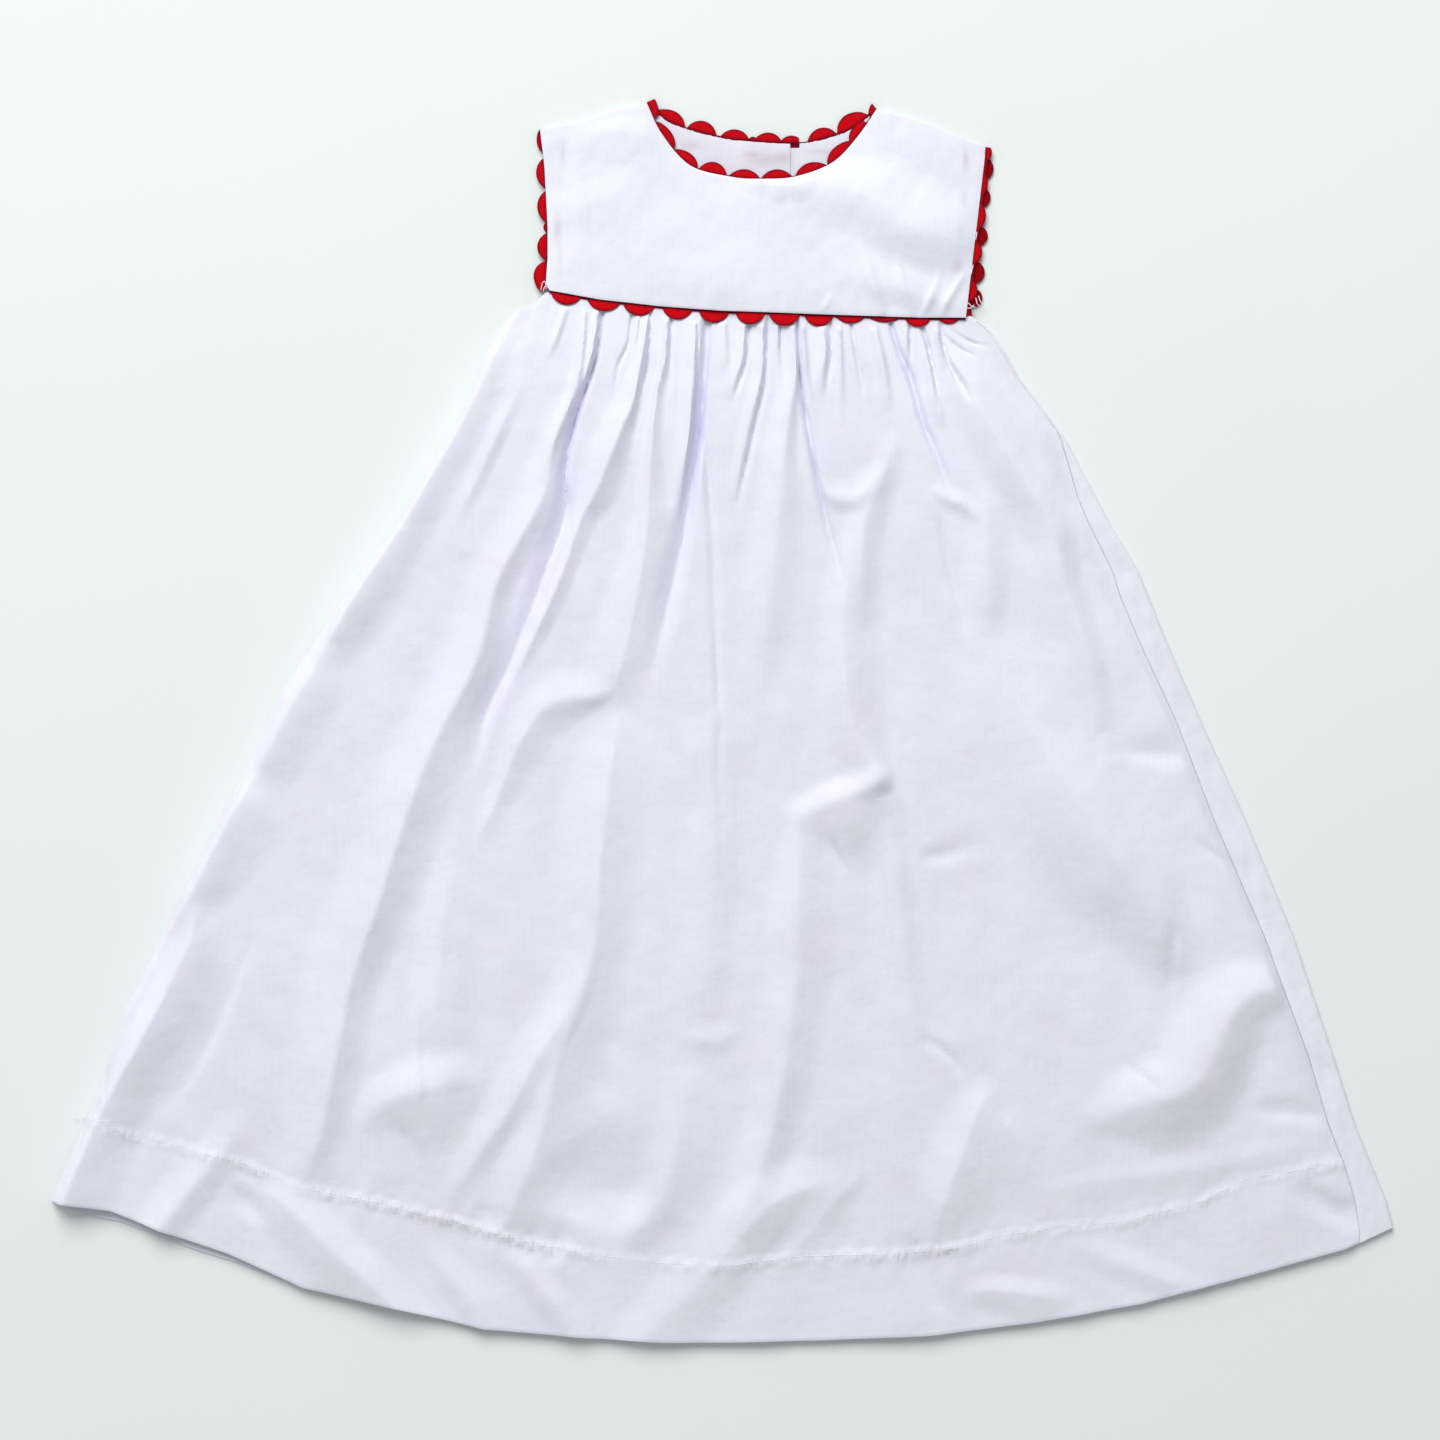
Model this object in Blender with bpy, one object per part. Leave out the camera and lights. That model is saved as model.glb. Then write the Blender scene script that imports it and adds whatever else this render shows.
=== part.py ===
# A toddler's sleeveless yoke dress, laid flat on its back with the front up.
# Metres. +Z comes up out of the front, the neck is towards +Y, the hem towards -Y,
# and the origin is under the middle of the dress, on the surface it lies on.
# Every table is in millimetres, in that same frame.

import math

import bmesh
import bpy
import numpy as np

MM = 0.001

# Driving dimensions
BACK_WALL = 1.0
FRONT_WALL = 1.5
YOKE_WALL = 1.4
SEAM_GAP = 0.3
LAP_FROM = 12.0
LAP_TO = 30.0
LAP_STEP = 6.0
LAP_MARGIN = 2.0
LAP_REACH = 10.0
TUCK = 2.0
TUCK_FROM = -74.0
TUCK_TO = 105.0
TUCK_RAMP = 3.0
OVER_TUCK_TO = 10.0
OVER_TUCK_RAMP = 6.0
HEM_DEPTH = 37.0
HEM_THICKER = 0.6
HEM_STEP = 3.0
STITCH_GROOVE = 0.5
STITCH_WIDTH = 2.0

# Ric-rac: length of one scallop, wall, strip left at a cusp, and how far a scallop shows
RICRAC_PITCH = 15.3
RICRAC_WALL = 0.8
RICRAC_BASE = 1.1
RICRAC_ON_NECK = 5.6
RICRAC_ON_ARMHOLE = 6.2
RICRAC_PAST_LAP = 4.0
RICRAC_INSIDE_LAP = 2.0
POINTS_PER_SCALLOP = 6
SHORTEST_PIECE = 0.4
UNDERARM_CLEAR = 0.035
SEAM_RICRAC_LIFT = 0.4
SEAM_RICRAC_SLOPE = 0.36

# How the gathered cloth starts: each fades in over this distance below the seam
RISE_STARTS = 7.0
GATHERS_START = 10.0
FOLDS_START = 16.0

# How the cloth comes down to the side folds and to the hem
EDGE_SOFTNESS = 9.0
FULL_RISE_EARLY = 1.5
FULL_FOLD_EARLY = 1.3
HEM_RISE = 0.35
HEM_REACH = 60.0

# How each gather runs: start above the seam, widening, sharpness, share of its length that fades
GATHER_ABOVE = 4.0
GATHER_WIDENS = 1.2
GATHER_SHARPNESS = 0.5
GATHER_FADE = 0.5

# Grid of the pieces
COLUMN_SPACING = 2.0
BACK_COLUMNS = 13
TURN_COLUMNS = 5
YOKE_ROWS = [0, 0.08, 0.2, 0.33, 0.46, 0.58, 0.7, 0.8, 0.87, 0.93, 1]
BACK_YOKE_ROWS = [0, 0.5, 1]

# Underside of whatever lies on the back panels
ON_BACK = BACK_WALL + SEAM_GAP

# Step of the left back yoke up over the right one: x, share of the step
LAP_RAMP = [(LAP_FROM - LAP_STEP - 1, 0), (LAP_FROM - 1, 1)]

# Left side of the skirt from the underarm to the hem: y, x
LEFT_SIDE = [
    (180, -91), (172, -97), (161, -104), (143, -112), (128, -120), (88, -143), (44, -173),
    (11, -195), (-15, -206), (-45, -222), (-77, -238), (-106, -252), (-128, -263),
    (-158, -272), (-189, -285), (-211, -295),
]

# Right side of the skirt, where the back panel folds over: y, x
RIGHT_SIDE = [
    (176, 113), (172, 118), (163, 124), (152, 130), (139, 140), (124, 151), (88, 170), (66, 183),
    (36, 195), (-1, 211), (-43, 230), (-94, 251), (-148, 269), (-177, 278), (-211, 292),
    (-223, 295),
]

# How far the side seam lies in from the right side: y, inset
SIDE_SEAM_INSET = [
    (180, 2.6), (88, 3.0), (64, 15), (46, 14), (0, 11), (-43, 14), (-92, 13), (-149, 11),
    (-195, 12), (-222, 15),
]

# Lower edge of the front skirt: x, y
FRONT_HEM = [
    (-295, -211), (-269, -215), (-246, -224), (-217, -234), (-184, -249), (-142, -258),
    (-105, -267), (-58, -271), (-24, -273), (1, -273), (44, -272), (91, -270), (139, -264),
    (184, -256), (230, -244), (274, -232), (295, -223),
]

# How much lower than the front hem the back hem shows: x, amount
BACK_HEM_BELOW = [(-295, 0), (-276, 4), (-256, 3.5), (-228, 2.5), (-197, 1.5), (-180, 0), (295, 0)]

# Lower edge of the yoke: x, y
YOKE_SEAM = [(-75, 189), (-54, 185), (-27, 182), (-1, 180), (26, 179), (56, 178), (87, 177), (106, 177)]

# Upper edge of the front yoke in three stretches: x, y
LEFT_SHOULDER = [(-80, 260), (-62, 264), (-45, 270), (-32, 273)]
FRONT_NECK = [
    (-32, 273), (-26, 258), (-14, 244), (4, 239), (16, 238), (32, 239), (48, 245), (59, 256),
    (68, 269),
]
RIGHT_SHOULDER = [(68, 269), (87, 264), (117, 253)]
SHOULDER_TOP = LEFT_SHOULDER[-1][1]

# How far the ric-rac shows below the yoke, from the right end: distance along, amount
SEAM_RICRAC_SHOWS = [(0, 2.9), (35, 2.6), (50, 3.8), (75, 5.0), (150, 5.0), (185, 4.4)]

# How far the ric-rac shows inside the front neck, from the left end: distance along, amount
NECK_RICRAC_SHOWS = [(0, 1.2), (3, 4.4), (8, RICRAC_ON_NECK)]

# Back neck edge: x, y
BACK_NECK = [(-32, 273), (-22, 263), (-2, 257), (12, 255), (29, 254), (40, 255), (56, 260), (68, 269)]

# Upper edge of the skirt outside the yoke, at the two underarms: x, y
LEFT_UNDERARM = [(-91, 180), (-88, 182), (-82, 183), (-78, 188), (-75, 189)]
RIGHT_UNDERARM = [(106, 177), (109, 178), (113, 176)]
SKIRT_TOP = LEFT_UNDERARM + YOKE_SEAM[1:-1] + RIGHT_UNDERARM

# Places along the skirt's upper edge beyond the gathers: x
LEFT_COLUMNS = [-91, -88, -84, -80, -76, -71]
RIGHT_COLUMNS = [102, 106, 109.5, 113]

# Lines that run down the front skirt with the cloth's grain: x on the seam, at each level, at the hem
LEVEL_CLEAR = 6.0
LEVELS = [168, 150, 124, 88, 44, 0, -44, -96, -149, -193]
GRAIN = {
    "yoke_corner": (-76, -82, -89, -101, -121, -148, -172, -193, -219, -239, -253, -261),
    "left_valley": (-51, -54, -59, -66, -76, -88, -106, -131, -159, -170, -178, -186),
    "deep_valley": (-7, -8, -9, -10, -17, -28, -36, -46, -55, -62, -69, -77),
    "middle": (15, 15, 12, 9, 7, 3, 0, -1, -3, -4, -7, -10),
    "beak_valley": (33, 34, 35, 39, 47, 53, 53, 48, 44, 42, 41, 40),
    "right_valley": (73, 77, 83, 92, 102, 106, 113, 118, 122, 127, 128, 127),
    "underarm_valley": (99, 103, 109, 122, 143, 161, 176, 188, 201, 209, 213, 213),
}

# Gathers. Each is a furrow that starts on the yoke seam: seam x, end x, end y, half width, depth
GATHERS = [
    (-66, -70, 154, 2.2, 3.0),
    (-58, -61, 163, 1.5, 2.0),
    (-51, -69, 108, 2.6, 4.8),
    (-44, -46, 165, 1.5, 2.0),
    (-41, -45, 151, 2.0, 2.5),
    (-37, -39, 163, 1.4, 1.6),
    (-32, -40, 133, 2.4, 3.2),
    (-29, -32, 145, 1.6, 2.2),
    (-22, -24, 139, 2.2, 2.6),
    (-11, -12, 141, 1.6, 2.0),
    (-7, -9, 125, 4.2, 5.2),
    (2, 2, 165, 1.4, 1.6),
    (6, 5, 164, 1.4, 1.6),
    (12, 6, 145, 2.0, 2.6),
    (20, 10, 107, 2.2, 3.2),
    (25, 23, 162, 1.4, 1.6),
    (33, 52, 68, 2.2, 4.2),
    (37, 36, 158, 1.5, 1.8),
    (47, 44, 158, 2.0, 2.4),
    (53, 54, 152, 1.6, 2.0),
    (58, 61, 150, 1.8, 2.2),
    (66, 71, 162, 1.5, 1.8),
    (73, 100, 103, 2.0, 4.0),
    (82, 82, 161, 1.4, 1.6),
    (89, 94, 142, 2.2, 3.0),
    (95, 110, 162, 1.6, 2.0),
    (99, 117, 163, 1.4, 1.6),
]

# Folds, each along a curve through three points. Widths are to the left and the right hand of
# someone who walks from the start to the end, and a height below nought is a furrow.
# start x, y, middle x, y, end x, y, left width, right width, widening, height, sharpness,
# fade at the start, fade at the end
SKIRT_FOLDS = {
    "underarm_left": (-95, 169, -117, 128, -163, 39, 12, 9, 1.3, 3.5, 0.2, 0.1, 0.1),
    "side_left_mid": (-166, 22, -178, 0, -202, -30, 14, 9, 1.0, 3.0, 0.2, 0.2, 0.2),
    "side_left_low": (-202, -24, -219, -57, -238, -84, 14, 9, 1.0, 3.5, 0.2, 0.2, 0.2),
    "corner_left": (-216, -79, -247, -127, -290, -211, 22, 12, 1.1, 7.0, 0.3, 0.2, 0),
    "long_upper": (-77, 110, -101, 44, -124, -9, 15, 16, 1.2, 5.0, 0.4, 0.2, 0),
    "long_lower": (-124, -9, -154, -81, -180, -201, 17, 22, 1.1, 6.0, 0.4, 0, 0.1),
    "long_valley": (-69, 110, -80, 58, -103, 2, 7, 9, 1.3, -4.5, 0.7, 0, 0.15),
    "mid_upper": (-31, 110, -36, 58, -47, 14, 8, 18, 1.1, 5.0, 0.3, 0.3, 0.1),
    "mid_middle": (-48, -8, -51, -52, -58, -96, 16, 16, 1.0, 4.5, 0.4, 0.2, 0),
    "mid_lower": (-58, -96, -65, -136, -78, -184, 16, 12, 1.0, 4.0, 0.3, 0, 0.25),
    "cross_crease": (-41, 15, -77, 11, -104, -46, 9, 18, 0.7, 3.5, 0.6, 0.1, 0.1),
    "branch_left": (-9, 125, -17, 97, -31, 23, 5, 6, 0.9, -4.5, 0.8, 0, 0.15),
    "branch_right": (-9, 124, -4, 71, -1, 9, 4, 4, 0.9, -2.5, 0.8, 0, 0.15),
    "soft_middle": (-14, 36, -15, -35, -25, -114, 16, 16, 1.1, 3.0, 0, 0.3, 0.3),
    "soft_hollow": (34, 110, 28, 66, 31, 9, 12, 12, 1.2, -2.5, 0.1, 0.3, 0.3),
    "to_beak": (51, 71, 55, 18, 64, -19, 7, 11, 1.2, 4.0, 0.4, 0.3, 0),
    "beak": (73, -24, 59, -31, 43, -37, 14, 13, 1.0, 6.0, 0.7, 0.1, 0),
    "below_beak": (44, -37, 34, -79, 25, -158, 15, 16, 1.2, 4.5, 0.4, 0, 0.2),
    "right_of_beak": (72, -30, 72, -70, 74, -140, 9, 16, 1.1, 4.0, 0.2, 0.1, 0.3),
    "star": (119, -53, 100, -57, 88, -60, 6, 6, 0.5, -3.0, 0.5, 0.3, 0.05),
    "diagonal": (208, -116, 175, -57, 116, 17, 24, 26, 0.9, 7.0, 0.2, 0.15, 0.15),
    "billow_side": (248, -123, 224, -120, 216, -150, 12, 10, 1.2, 5.0, 0.3, 0.15, 0),
    "billow_bottom": (216, -148, 206, -166, 172, -168, 17, 16, 0.9, 7.0, 0.4, 0, 0.2),
    "pucker_upper": (204, -14, 188, -12, 169, -11, 5, 5, 0.7, -2.5, 0.5, 0, 0.2),
    "pucker_lower": (265, -172, 250, -169, 232, -170, 5, 5, 0.8, -2.5, 0.5, 0, 0.2),
    "underarm_right": (158, 58, 140, 119, 103, 162, 14, 14, 0.8, 6.0, 0.3, 0.1, 0.2),
    "trapeze": (110, -167, 101, -198, 92, -232, 20, 12, 1.0, 4.5, 0.4, 0.15, 0.1),
    "hem_diagonal": (50, -212, 19, -229, -15, -271, 10, 10, 1.3, -5.0, 0.4, 0.15, 0),
    "above_diagonal": (22, -188, 11, -211, -14, -248, 12, 20, 1.0, 4.0, 0.2, 0.2, 0.2),
    "dent": (-53, -167, -55, -193, -62, -214, 16, 16, 0.9, -3.5, 0.1, 0.3, 0.2),
    "right_of_dent": (-20, -158, -26, -193, -48, -233, 10, 7, 1.0, 3.0, 0.3, 0.2, 0.2),
    "patch": (-111, -156, -129, -166, -150, -168, 16, 12, 1.0, 4.5, 0.4, 0.15, 0.15),
    "diagonal_left": (-62, -90, -84, -140, -113, -197, 10, 12, 1.0, 3.0, 0.2, 0.2, 0.2),
    "hem_left_furrow": (-204, -217, -186, -236, -163, -254, 10, 10, 1.2, -4.0, 0.4, 0.15, 0),
    "corner_plane": (-234, -172, -251, -200, -266, -216, 14, 14, 1.2, 3.0, 0.1, 0.2, 0),
}

YOKE_FOLDS = {
    "shoulder_hollow": (52, 236, 72, 218, 96, 197, 12, 12, 1.1, -0.9, 0.1, 0.3, 0.3),
    "seam_pucker": (62, 208, 66, 196, 69, 183, 4, 4, 1.0, 0.9, 0.4, 0.3, 0.1),
    "corner_pucker": (100, 185, 102, 188, 104, 191, 3, 3, 1.0, 0.8, 0.4, 0.2, 0.2),
}

# Height that the gathered cloth stands above the seam: distance below the seam, height
GATHER_RISE = [(-10, 0), (0, 0), (6, 1.5), (12, 3.4), (20, 4.8), (50, 5.2), (90, 4.6), (140, 4.0)]

# Rows of the front skirt: share of the way from the seam to the hem
ROWS = [
    0, 0.012, 0.026, 0.042, 0.062, 0.09, 0.125, 0.165, 0.21, 0.26, 0.31, 0.36, 0.41, 0.46, 0.51,
    0.56, 0.61, 0.66, 0.71, 0.76, 0.81, 0.86, 0.915, 0.925, 0.935, 0.965, 1,
]

WHITE_COTTON = ((0.87, 0.87, 0.93, 1.0), 0.75)
RED_BRAID = ((0.62, 0.01, 0.02, 1.0), 0.7)


def clear_scene():
    for thing in list(bpy.data.objects):
        bpy.data.objects.remove(thing, do_unlink=True)


def material(name, colour, roughness):
    made = bpy.data.materials.new(name)
    made.use_nodes = True
    shader = made.node_tree.nodes["Principled BSDF"]
    shader.inputs["Base Color"].default_value = colour
    shader.inputs["Roughness"].default_value = roughness
    shader.inputs["Metallic"].default_value = 0.0
    return made


def look_up(table, at):
    """Value of a two-column table at one or many places, whichever way the first column runs."""
    table = sorted(table)
    return np.interp(at, [row[0] for row in table], [row[1] for row in table])


def smooth_path(points, per_stretch):
    """Points along a soft curve through the given ones."""
    points = [np.array(p, float) for p in points]
    padded = [2 * points[0] - points[1], *points, 2 * points[-1] - points[-2]]
    found = []
    for before, start, end, after in zip(padded, padded[1:], padded[2:], padded[3:]):
        for step in range(per_stretch):
            t = step / per_stretch
            found.append(
                0.5 * (2 * start + (end - before) * t
                       + (2 * before - 5 * start + 4 * end - after) * t ** 2
                       + (3 * start - before - 3 * end + after) * t ** 3)
            )
    found.append(points[-1])
    return np.array(found)


def soft_step(t):
    t = np.clip(t, 0, 1)
    return t * t * (3 - 2 * t)


def fold_height(x, y, rows):
    """Height that the folds in a table add at each place."""
    total = np.zeros_like(x)
    for sx, sy, mx, my, ex, ey, left, right, widening, height, sharp, fade_in, fade_out in rows:
        t = np.linspace(0, 1, 13)
        bend = (2 * mx - (sx + ex) / 2, 2 * my - (sy + ey) / 2)
        line_x = (1 - t) ** 2 * sx + 2 * t * (1 - t) * bend[0] + t ** 2 * ex
        line_y = (1 - t) ** 2 * sy + 2 * t * (1 - t) * bend[1] + t ** 2 * ey
        nearest = np.full(x.shape, 1e9)
        where = np.zeros_like(x)
        side = np.zeros_like(x)
        for i in range(len(t) - 1):
            run_x = line_x[i + 1] - line_x[i]
            run_y = line_y[i + 1] - line_y[i]
            off_x = x - line_x[i]
            off_y = y - line_y[i]
            share = np.clip((off_x * run_x + off_y * run_y) / (run_x ** 2 + run_y ** 2), 0, 1)
            away = np.hypot(off_x - share * run_x, off_y - share * run_y)
            closer = away < nearest
            nearest = np.where(closer, away, nearest)
            where = np.where(closer, t[i] + share * (t[i + 1] - t[i]), where)
            side = np.where(closer, run_x * off_y - run_y * off_x, side)
        width = np.where(side > 0, left, right) * (1 + (widening - 1) * where)
        q = np.clip(nearest / width, 0, 1)
        across = (1 - sharp) * (1 - q ** 2) ** 2 + sharp * (1 - q) ** 2
        rise = soft_step(where / fade_in) if fade_in else 1.0
        fall = soft_step((1 - where) / fade_out) if fade_out else 1.0
        total += height * across * rise * fall
    return total


def gather_rows():
    """The gathers as rows of the fold table, each a furrow that fades out below."""
    return [
        (x, look_up(YOKE_SEAM, x) + GATHER_ABOVE,
         (x + end_x) / 2, (look_up(YOKE_SEAM, x) + end_y) / 2, end_x, end_y,
         width, width, GATHER_WIDENS, -depth, GATHER_SHARPNESS, 0, GATHER_FADE)
        for x, end_x, end_y, width, depth in GATHERS
    ]


def lap_lift(x):
    """How far the lap at centre back lifts what lies over it."""
    up = soft_step((x - LAP_FROM + LAP_STEP + LAP_MARGIN) / LAP_STEP)
    down = soft_step((LAP_TO + LAP_STEP + LAP_MARGIN - x) / LAP_STEP)
    return ON_BACK * up * down


def seam_top(c):
    """Upper edge of the skirt at a place along it."""
    tucked = soft_step((c - TUCK_FROM) / TUCK_RAMP) * soft_step((TUCK_TO - c) / TUCK_RAMP)
    return look_up(SKIRT_TOP, c) + TUCK * tucked


def skirt_columns():
    """Places along the skirt's upper edge: each gather, and the cloth between."""
    places = LEFT_COLUMNS + [row[0] for row in GATHERS] + RIGHT_COLUMNS
    columns = []
    for start, end in zip(places, places[1:]):
        parts = max(1, int(round((end - start) / COLUMN_SPACING)))
        columns += [start + (end - start) * i / parts for i in range(parts)]
    return np.array(columns + [places[-1]])


def right_seam(y):
    """The front panel's right edge, which is the side seam."""
    return look_up(RIGHT_SIDE, y) - look_up(SIDE_SEAM_INSET, y) - SEAM_GAP


def side_seam_rows():
    """The side seam's y at each row of the skirt."""
    top = RIGHT_UNDERARM[-1][1]
    foot = look_up(FRONT_HEM, right_seam(FRONT_HEM[-1][1]))
    return top + (foot - top) * np.array(ROWS)


def skirt_plan(columns):
    """Plan of the front skirt: x and y for each row and column."""
    known = [LEFT_UNDERARM[0][0]] + [line[0] for line in GRAIN.values()] + [RIGHT_UNDERARM[-1][0]]
    x = np.zeros((len(ROWS), len(columns)))
    y = np.zeros_like(x)
    hem = [FRONT_HEM[0][0]] + [line[-1] for line in GRAIN.values()] + [right_seam(FRONT_HEM[-1][1])]
    for j, c in enumerate(columns):
        top = seam_top(c)
        path = [(top, c)]
        for k, level in enumerate(LEVELS):
            if level < top - LEVEL_CLEAR:
                across = [look_up(LEFT_SIDE, level)] + [line[k + 1] for line in GRAIN.values()]
                across.append(right_seam(level))
                path.append((level, float(np.interp(c, known, across))))
        hem_x = float(np.interp(c, known, hem))
        path.append((float(look_up(FRONT_HEM, hem_x)), hem_x))
        y[:, j] = top + (path[-1][0] - top) * np.array(ROWS)
        x[:, j] = look_up(path, y[:, j])
    for _ in range(2):
        x[1:-1] = 0.25 * x[:-2] + 0.5 * x[1:-1] + 0.25 * x[2:]
    y[:, -1] = side_seam_rows()
    x[:, 0] = look_up(LEFT_SIDE, y[:, 0])
    x[:, -1] = right_seam(y[:, -1])
    return x, y


def soft_floor(height):
    """Cloth that would sink into the panel below lies on it instead."""
    return np.where(height > 1, height, np.exp(np.minimum(height - 1, 0)))


def skirt_rise(x, y, below_seam, above_hem):
    """Height of the front skirt's underside above where it would lie flat."""
    from_left = np.maximum(x - look_up(LEFT_SIDE, y), 0)
    from_right = np.maximum(right_seam(y) - x, 0)
    edges = (1 - np.exp(-from_left / EDGE_SOFTNESS)) * (1 - np.exp(-from_right / EDGE_SOFTNESS))
    near_hem = HEM_RISE + (1 - HEM_RISE) * soft_step(above_hem / HEM_REACH)
    lifted = look_up(GATHER_RISE, below_seam) * near_hem
    folds = fold_height(x, y, list(SKIRT_FOLDS.values()))
    gathers = fold_height(x, y, gather_rows())
    folds *= np.minimum(edges * FULL_FOLD_EARLY, 1) * soft_step(below_seam / FOLDS_START)
    height = lifted * edges + folds + gathers * soft_step(below_seam / GATHERS_START)
    edges = np.minimum(edges * FULL_RISE_EARLY, 1)
    return soft_floor(height) * edges * soft_step(below_seam / RISE_STARTS)


def sheet(name, top, bottom, finish):
    """A cloth wall between two grids of points, rows by columns, closed at its edges."""
    rows, columns = top.shape[:2]
    mesh = bpy.data.meshes.new(name)
    bm = bmesh.new()
    bmesh.ops.create_grid(bm, x_segments=columns - 1, y_segments=rows - 1, size=0.5)
    extruded = bmesh.ops.extrude_face_region(bm, geom=list(bm.faces))
    lower = {g for g in extruded["geom"] if isinstance(g, bmesh.types.BMVert)}
    for vert in bm.verts:
        column = int(round((vert.co.x + 0.5) * (columns - 1)))
        row = int(round((0.5 - vert.co.y) * (rows - 1)))
        points = bottom if vert in lower else top
        vert.co = points[row, column] * MM
    bmesh.ops.recalc_face_normals(bm, faces=bm.faces)
    bm.to_mesh(mesh)
    bm.free()
    mesh.materials.append(finish)
    made = bpy.data.objects.new(name, mesh)
    bpy.data.collections["Yoke dress"].objects.link(made)
    return made


def raised(x, y, z):
    return np.stack([x, y, np.broadcast_to(z, x.shape)], axis=-1)


def front_skirt(finish):
    columns = skirt_columns()
    x, y = skirt_plan(columns)
    below_seam = seam_top(columns)[None, :] - TUCK - y
    above_hem = y - look_up(FRONT_HEM, x)
    under = ON_BACK + skirt_rise(x, y, below_seam, above_hem)
    under += lap_lift(x) * soft_step((LAP_REACH - below_seam) / LAP_REACH)
    wall = FRONT_WALL + HEM_THICKER * soft_step((HEM_DEPTH - above_hem) / HEM_STEP)
    wall -= STITCH_GROOVE * np.exp(-((above_hem - HEM_DEPTH) / STITCH_WIDTH) ** 2)
    sheet("front_skirt", raised(x, y, under + wall), raised(x, y, under), finish)


def back_skirt(finish):
    shares = np.linspace(0, 1, BACK_COLUMNS)
    turns = np.linspace(-math.pi / 2, math.pi / 2, TURN_COLUMNS)
    middle = (BACK_WALL + ON_BACK) / 2
    outer_rows = []
    inner_rows = []
    for down, seam_y in zip(ROWS, side_seam_rows()):
        left_y = LEFT_SIDE[0][0] + (LEFT_SIDE[-1][0] - LEFT_SIDE[0][0]) * down
        right_y = RIGHT_SIDE[0][0] + (RIGHT_SIDE[-1][0] - RIGHT_SIDE[0][0]) * down
        left_x = float(look_up(LEFT_SIDE, left_y))
        right_x = float(look_up(RIGHT_SIDE, right_y))
        bend_x = right_x - middle
        flat_x = left_x + (bend_x - left_x) * shares
        chord_y = left_y + (right_y - left_y) * shares
        top_x = LEFT_SIDE[0][1] + (RIGHT_SIDE[0][1] - LEFT_SIDE[0][1]) * shares
        top_bow = look_up(SKIRT_TOP, top_x)
        top_bow -= LEFT_SIDE[0][0] + (RIGHT_SIDE[0][0] - LEFT_SIDE[0][0]) * shares
        hem_x = LEFT_SIDE[-1][1] + (RIGHT_SIDE[-1][1] - LEFT_SIDE[-1][1]) * shares
        hem_bow = look_up(FRONT_HEM, hem_x) - look_up(BACK_HEM_BELOW, hem_x)
        hem_bow -= LEFT_SIDE[-1][0] + (RIGHT_SIDE[-1][0] - LEFT_SIDE[-1][0]) * shares
        flat_y = chord_y + (top_bow - SEAM_GAP) * (1 - down) + hem_bow * down
        strip_x = np.linspace(bend_x, float(right_seam(seam_y)) + SEAM_GAP, 3)
        strip_y = np.linspace(flat_y[-1], seam_y, 3)
        outer = [(px, py, 0.0) for px, py in zip(flat_x, flat_y)]
        inner = [(px, py, BACK_WALL) for px, py in zip(flat_x, flat_y)]
        for turn in turns[1:-1]:
            far = (math.cos(turn) * middle, middle + math.sin(turn) * middle)
            near = (math.cos(turn) * SEAM_GAP / 2, middle + math.sin(turn) * SEAM_GAP / 2)
            outer.append((bend_x + far[0], flat_y[-1], far[1]))
            inner.append((bend_x + near[0], flat_y[-1], near[1]))
        outer += [(px, py, ON_BACK + BACK_WALL) for px, py in zip(strip_x, strip_y)]
        inner += [(px, py, ON_BACK) for px, py in zip(strip_x, strip_y)]
        outer_rows.append(outer)
        inner_rows.append(inner)
    sheet("back_skirt", np.array(inner_rows), np.array(outer_rows), finish)


def yoke_grid(upper, rows, left_foot=YOKE_SEAM[0][0], right_foot=YOKE_SEAM[-1][0]):
    """Plan of a yoke piece: straight lines from its upper edge down to the yoke seam."""
    share = (upper[:, 0] - upper[0, 0]) / (upper[-1, 0] - upper[0, 0])
    foot_x = left_foot + (right_foot - left_foot) * share
    foot_y = look_up(YOKE_SEAM, foot_x)
    down = np.array(rows)[:, None]
    return (upper[:, 0] + (foot_x - upper[:, 0]) * down, upper[:, 1] + (foot_y - upper[:, 1]) * down)


def yoke_under(x, y):
    """Underside of the front yoke, over the lap at centre back and over the skirt's tuck."""
    above_seam = y - look_up(YOKE_SEAM, x)
    over_tuck = (FRONT_WALL + SEAM_GAP) * soft_step((OVER_TUCK_TO - above_seam) / OVER_TUCK_RAMP)
    return ON_BACK + lap_lift(x) + over_tuck


def front_yoke(finish):
    neck = smooth_path(FRONT_NECK, 3)
    upper = np.array(
        [tuple(p) for p in smooth_path(LEFT_SHOULDER, 2)[:-1]]
        + [tuple(p) for p in neck]
        + [tuple(p) for p in smooth_path(RIGHT_SHOULDER, 3)[1:]]
    )
    x, y = yoke_grid(upper, YOKE_ROWS)
    under = yoke_under(x, y) + np.maximum(fold_height(x, y, list(YOKE_FOLDS.values())), 0)
    sheet("front_yoke", raised(x, y, under + YOKE_WALL), raised(x, y, under), finish)


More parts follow.
